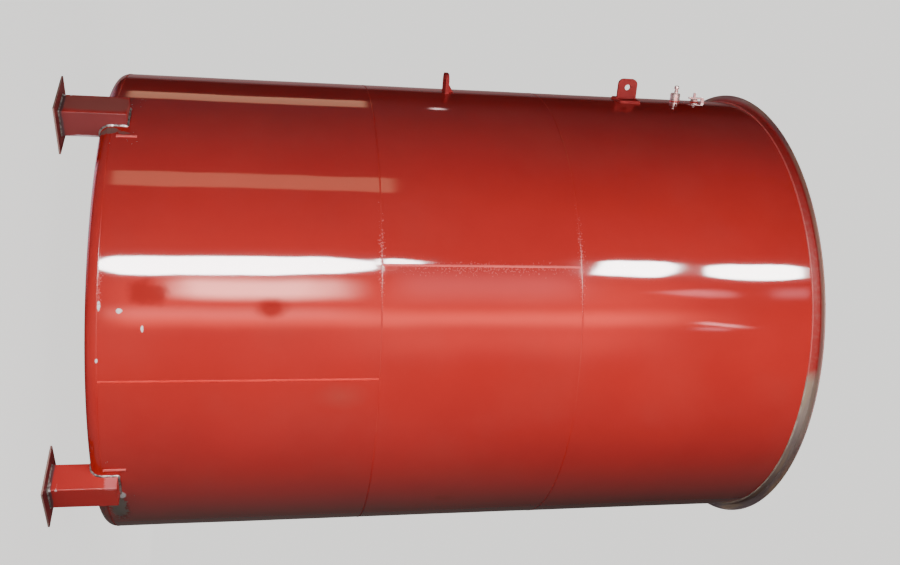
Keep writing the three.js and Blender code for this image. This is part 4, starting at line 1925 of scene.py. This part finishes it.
@dataclass(frozen=True)
class Studio:
    """A plain pale floor that fades into a plain pale background, and soft lights."""

    pale: Colour = (0.80, 0.79, 0.77)
    brightness: float = 1.7
    floor_radius: float = 14.0
    floor_paint: float = 0.12
    floor_roughness: float = 0.9
    floor_glow: float = 1.61
    fade_start: float = 1.8
    fade_end: float = 6.0
    ambient: float = 0.04
    ambient_colour: Colour = (0.9, 0.95, 1.0)
    top_light_level: float = 7.5
    top_light_size: float = 2.4
    top_light_radiance: float = 3.5
    mirrored_stops: tuple[tuple[float, Colour], ...] = (
        (-180.0, (0.30, 0.29, 0.30)),
        (-120.0, (0.33, 0.31, 0.30)),
        (-60.0, (0.25, 0.23, 0.22)),
        (-20.0, (0.38, 0.35, 0.34)),
        (12.0, (0.34, 0.31, 0.30)),
        (50.0, (0.14, 0.12, 0.11)),
        (82.0, (0.08, 0.07, 0.07)),
        (96.0, (0.40, 0.25, 0.25)),
        (119.0, (0.40, 0.25, 0.25)),
        (125.0, (0.03, 0.02, 0.02)),
        (140.0, (0.04, 0.03, 0.03)),
        (155.0, (0.15, 0.14, 0.15)),
        (180.0, (0.27, 0.26, 0.27)),
    )
    low_glow: Colour = (2.6, 1.5, 2.0)
    low_glow_rise: tuple[float, float] = (-0.75, -0.25)
    low_glow_aside: tuple[float, float] = (-0.22, 0.04)
    low_glow_ahead: tuple[float, float] = (0.20, 0.50)
    high_dimming: float = 0.35
    full_dimming_rise: float = 0.45
    panels: tuple[SoftPanel, ...] = (
        SoftPanel("key_low", -104.8, NEAR_WALL, 1.62, -1.30, 2.70, 150.0, soft_ends=(0.02, 0.02), lean=3.5,
                  outline=((0.0, 0.40), (0.05, 0.46), (0.10, 0.84), (0.18, 1.02), (0.35, 1.0),
                           (0.51, 0.93), (0.71, 0.90), (0.83, 0.84), (0.92, 0.66), (0.97, 0.45),
                           (1.0, 0.40))),
        SoftPanel("key_trail", -107.0, NEAR_WALL, 0.50, 2.66, 3.34, 120.0, soft_ends=(0.02, 0.05),
                  outline=((0.0, 0.9), (0.4, 1.0), (0.75, 0.6), (1.0, 0.2))),
        SoftPanel("key_middle", -105.5, NEAR_WALL, 1.46, 5.84, 7.20, 150.0, soft_ends=(0.02, 0.02),
                  lean=-7.0, outline=((0.0, 0.72), (0.06, 0.80), (0.12, 0.86), (0.20, 0.96),
                                      (0.60, 1.02), (0.80, 1.0), (0.92, 0.78), (1.0, 0.40))),
        SoftPanel("key_high", -104.6, NEAR_WALL, 1.50, 7.70, 9.30, 150.0, soft_ends=(0.02, 0.02),
                  outline=((0.0, 0.45), (0.06, 0.64), (0.12, 0.76), (0.22, 0.88), (0.50, 1.05),
                           (0.73, 0.92), (0.92, 0.74), (1.0, 0.60))),
        SoftPanel("pink_low", -94.6, NEAR_WALL, 2.40, -0.45, 2.72, 42.0, colour=(1.0, 0.46, 0.40),
                  soft_sides=(0.40, 0.40), soft_ends=(0.25, 0.40)),
        SoftPanel("pink_high", -97.0, NEAR_WALL, 4.40, 2.60, 6.20, 3.2, colour=(1.0, 0.36, 0.40),
                  soft_sides=(0.50, 0.50), soft_ends=(0.20, 0.30)),
        SoftPanel("warm_wide", -90.0, NEAR_WALL, 6.50, -1.30, 8.60, 5.0, colour=(1.0, 0.09, 0.07),
                  soft_sides=(0.50, 0.50), soft_ends=(0.08, 0.25)),
        SoftPanel("warm_core", -81.5, NEAR_WALL, 2.20, -1.30, 8.60, 11.0, colour=(1.0, 0.13, 0.10),
                  soft_sides=(0.50, 0.50), soft_ends=(0.08, 0.25)),
        SoftPanel("warm_left", -84.0, NEAR_WALL, 1.70, -1.30, 2.90, 3.4, colour=(1.0, 0.45, 0.40),
                  soft_sides=(0.50, 0.50), soft_ends=(0.10, 0.30)),
        SoftPanel("warm_low", -73.0, NEAR_WALL, 5.20, 1.40, 7.80, 4.0, colour=(1.0, 0.10, 0.09),
                  soft_sides=(0.50, 0.50), soft_ends=(0.30, 0.30)),
        SoftPanel("pale_wide", -81.5, NEAR_WALL, 3.20, -1.30, 4.20, 0.5, colour=(1.0, 0.90, 0.90),
                  soft_sides=(0.50, 0.40), soft_ends=(0.05, 0.60)),
        SoftPanel("pale_streak", -93.8, NEAR_WALL, 1.30, 6.40, 8.45, 15.0, colour=(1.0, 0.32, 0.36),
                  soft_sides=(0.60, 0.60), soft_ends=(0.50, 0.40), lean=-5.0,
                  outline=((0.0, 0.10), (0.3, 0.45), (0.65, 1.0), (0.85, 0.8), (1.0, 0.3))),
        SoftPanel("pale_end", -94.4, NEAR_WALL, 1.60, 8.60, 9.40, 6.0, colour=(1.0, 0.38, 0.44),
                  soft_sides=(0.50, 0.50), soft_ends=(0.40, 0.05)),
        SoftPanel("dent_glint", -78.2, NEAR_WALL, 0.38, 7.35, 8.60, 28.0, colour=(1.0, 0.38, 0.40),
                  soft_sides=(0.50, 0.50), soft_ends=(0.25, 0.50), lean=-28.0),
        SoftPanel("dent_shade", -76.4, NEAR_WALL, 0.50, 7.36, 8.10, 9.0, colour=(1.0, 0.35, 0.42),
                  soft_sides=(0.50, 0.50), soft_ends=(0.40, 0.40), lean=-12.0),
        SoftPanel("upper_stripe", 155.5, SIDE_WALL, 1.50, -0.95, 2.65, 2.5, colour=(1.0, 0.50, 0.30)),
        SoftPanel("lower_stripe", -145.5, SIDE_WALL, 1.50, -1.09, 2.98, 4.6, colour=(1.0, 0.44, 0.25)),
        SoftPanel("small_lamp", 157.4, SIDE_WALL, 0.60, 3.46, 3.84, 11.0, colour=(1.0, 0.72, 0.70),
                  soft_sides=(0.50, 0.50), soft_ends=(0.50, 0.50)),
        SoftPanel("near_wash", -75.5, 2.4, 0.72, -1.50, 5.50, 2.24, PanelUse.WASH),
        SoftPanel("front_wash", -96.0, 3.8, 1.14, -1.50, 5.50, 4.17, PanelUse.WASH),
        SoftPanel("back_wash", 66.0, 5.0, 2.50, -1.00, 5.00, 6.5, PanelUse.WASH),
        SoftPanel("side_wash", 140.0, 6.0, 2.50, -1.00, 5.00, 3.0, PanelUse.WASH),
    )

    def build(self) -> None:
        """Makes the background, the floor and the lights."""
        self.build_background()
        self.build_floor()
        self.build_top_light()
        for panel in self.panels:
            panel.build()

    def build_top_light(self) -> None:
        """Makes the soft light over the roof, no wider than the tank, so that it misses the shell."""
        data = bpy.data.lights.new("top_wash", "AREA")
        data.shape = "DISK"
        data.size = self.top_light_size
        data.energy = self.top_light_radiance * math.pi * math.pi * self.top_light_size ** 2 / 4
        light = bpy.data.objects.new("top_wash", data)
        light.matrix_world = Matrix.Translation((0.0, 0.0, self.top_light_level))
        light.visible_camera = False
        light.visible_glossy = False
        bpy.context.scene.collection.objects.link(light)

    def build_background(self) -> None:
        """Makes the world: plain pale to the camera, even as a light, darker where it is mirrored."""
        world = bpy.data.worlds.new("pale_studio")
        world.use_nodes = True
        world.node_tree.nodes.clear()
        wiring = Wiring(world.node_tree)
        path = wiring.node("ShaderNodeLightPath").outputs
        way = wiring.node("ShaderNodeTexCoord").outputs["Object"]
        azimuth = use_group(wiring, round_tank_group(), {"Position": way}).outputs["Angle"]
        share = wiring.math("DIVIDE", wiring.math("ADD", azimuth, 180.0), FULL_TURN)
        stops = [((angle + 180.0) / FULL_TURN, colour) for angle, colour in self.mirrored_stops]
        around = wiring.stops(share, stops)
        aside, ahead, rise = wiring.split(way)
        dimming = wiring.ramp(rise, 0.0, self.full_dimming_rise, 0.0, self.high_dimming)
        dimmed = wiring.blend(dimming, around, (0, 0, 0, 1))
        below = wiring.ramp(rise, *self.low_glow_rise, 1.0, 0.0)
        beside = wiring.ramp(aside, *self.low_glow_aside, 1.0, 0.0)
        before = wiring.ramp(ahead, *self.low_glow_ahead)
        low = wiring.math("MULTIPLY", wiring.math("MULTIPLY", below, beside), before)
        sides = wiring.blend(low, dimmed, (*self.low_glow, 1))
        mirrored = wiring.node("ShaderNodeBackground", {"Color": sides, "Strength": 1.0}).outputs[0]
        soft = {"Color": (*self.ambient_colour, 1), "Strength": self.ambient}
        even = wiring.node("ShaderNodeBackground", soft).outputs[0]
        lit = wiring.node("ShaderNodeMixShader", {0: path["Is Glossy Ray"], 1: even, 2: mirrored}).outputs[0]
        plain = {"Color": (*self.pale, 1), "Strength": self.brightness}
        seen = wiring.node("ShaderNodeBackground", plain).outputs[0]
        mixed = wiring.node("ShaderNodeMixShader", {0: path["Is Camera Ray"], 1: lit, 2: seen}).outputs[0]
        wiring.node("ShaderNodeOutputWorld", {"Surface": mixed})
        bpy.context.scene.world = world

    def build_floor(self) -> None:
        """Makes the floor disc, which fades out with distance and isn't seen from below."""
        mesh = bpy.data.meshes.new("studio_floor")
        work = bmesh.new()
        bmesh.ops.create_circle(work, cap_ends=True, segments=96, radius=self.floor_radius)
        work.to_mesh(mesh)
        work.free()
        material = bpy.data.materials.new("pale_floor")
        wiring, shader = principled(material)
        output = wiring.tree.nodes["Material Output"]
        position = wiring.node("ShaderNodeTexCoord").outputs["Object"]
        radius = use_group(wiring, round_tank_group(), {"Position": position}).outputs["Radius"]
        below = wiring.node("ShaderNodeNewGeometry").outputs["Backfacing"]
        gone = wiring.math("MAXIMUM", wiring.ramp(radius, self.fade_start, self.fade_end), below)
        clear = wiring.node("ShaderNodeBsdfTransparent").outputs[0]
        paint = self.floor_paint
        shader.inputs["Base Color"].default_value = (paint, paint, paint, 1)
        shader.inputs["Roughness"].default_value = self.floor_roughness
        shader.inputs["Specular IOR Level"].default_value = 0.0
        shader.inputs["Emission Color"].default_value = (*self.pale, 1)
        shader.inputs["Emission Strength"].default_value = self.floor_glow
        mixed = wiring.node("ShaderNodeMixShader", {0: gone, 1: shader.outputs[0], 2: clear}).outputs[0]
        wiring.feed(output.inputs["Surface"], mixed)
        mesh.materials.append(material)
        floor = bpy.data.objects.new("studio_floor", mesh)
        floor.visible_diffuse = False
        floor.visible_glossy = False
        floor.visible_shadow = False
        bpy.context.scene.collection.objects.link(floor)


def main() -> None:
    """Builds the tank's looks and the studio."""
    logging.basicConfig(level=logging.INFO, format="%(name)s: %(message)s")
    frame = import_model()
    nodes = frame["nodes"]
    PhotoView().build()
    Studio().build()
    finishes = Finishes()
    Shell(finishes).build()
    BottomHead(finishes).build()
    CurbAngle(finishes).build()
    Roof(finishes).build()
    Legs(finishes).build(nodes)
    Lugs(finishes).build(nodes)
    SideFittings(finishes).build(nodes)


if __name__ == "__main__":
    main()
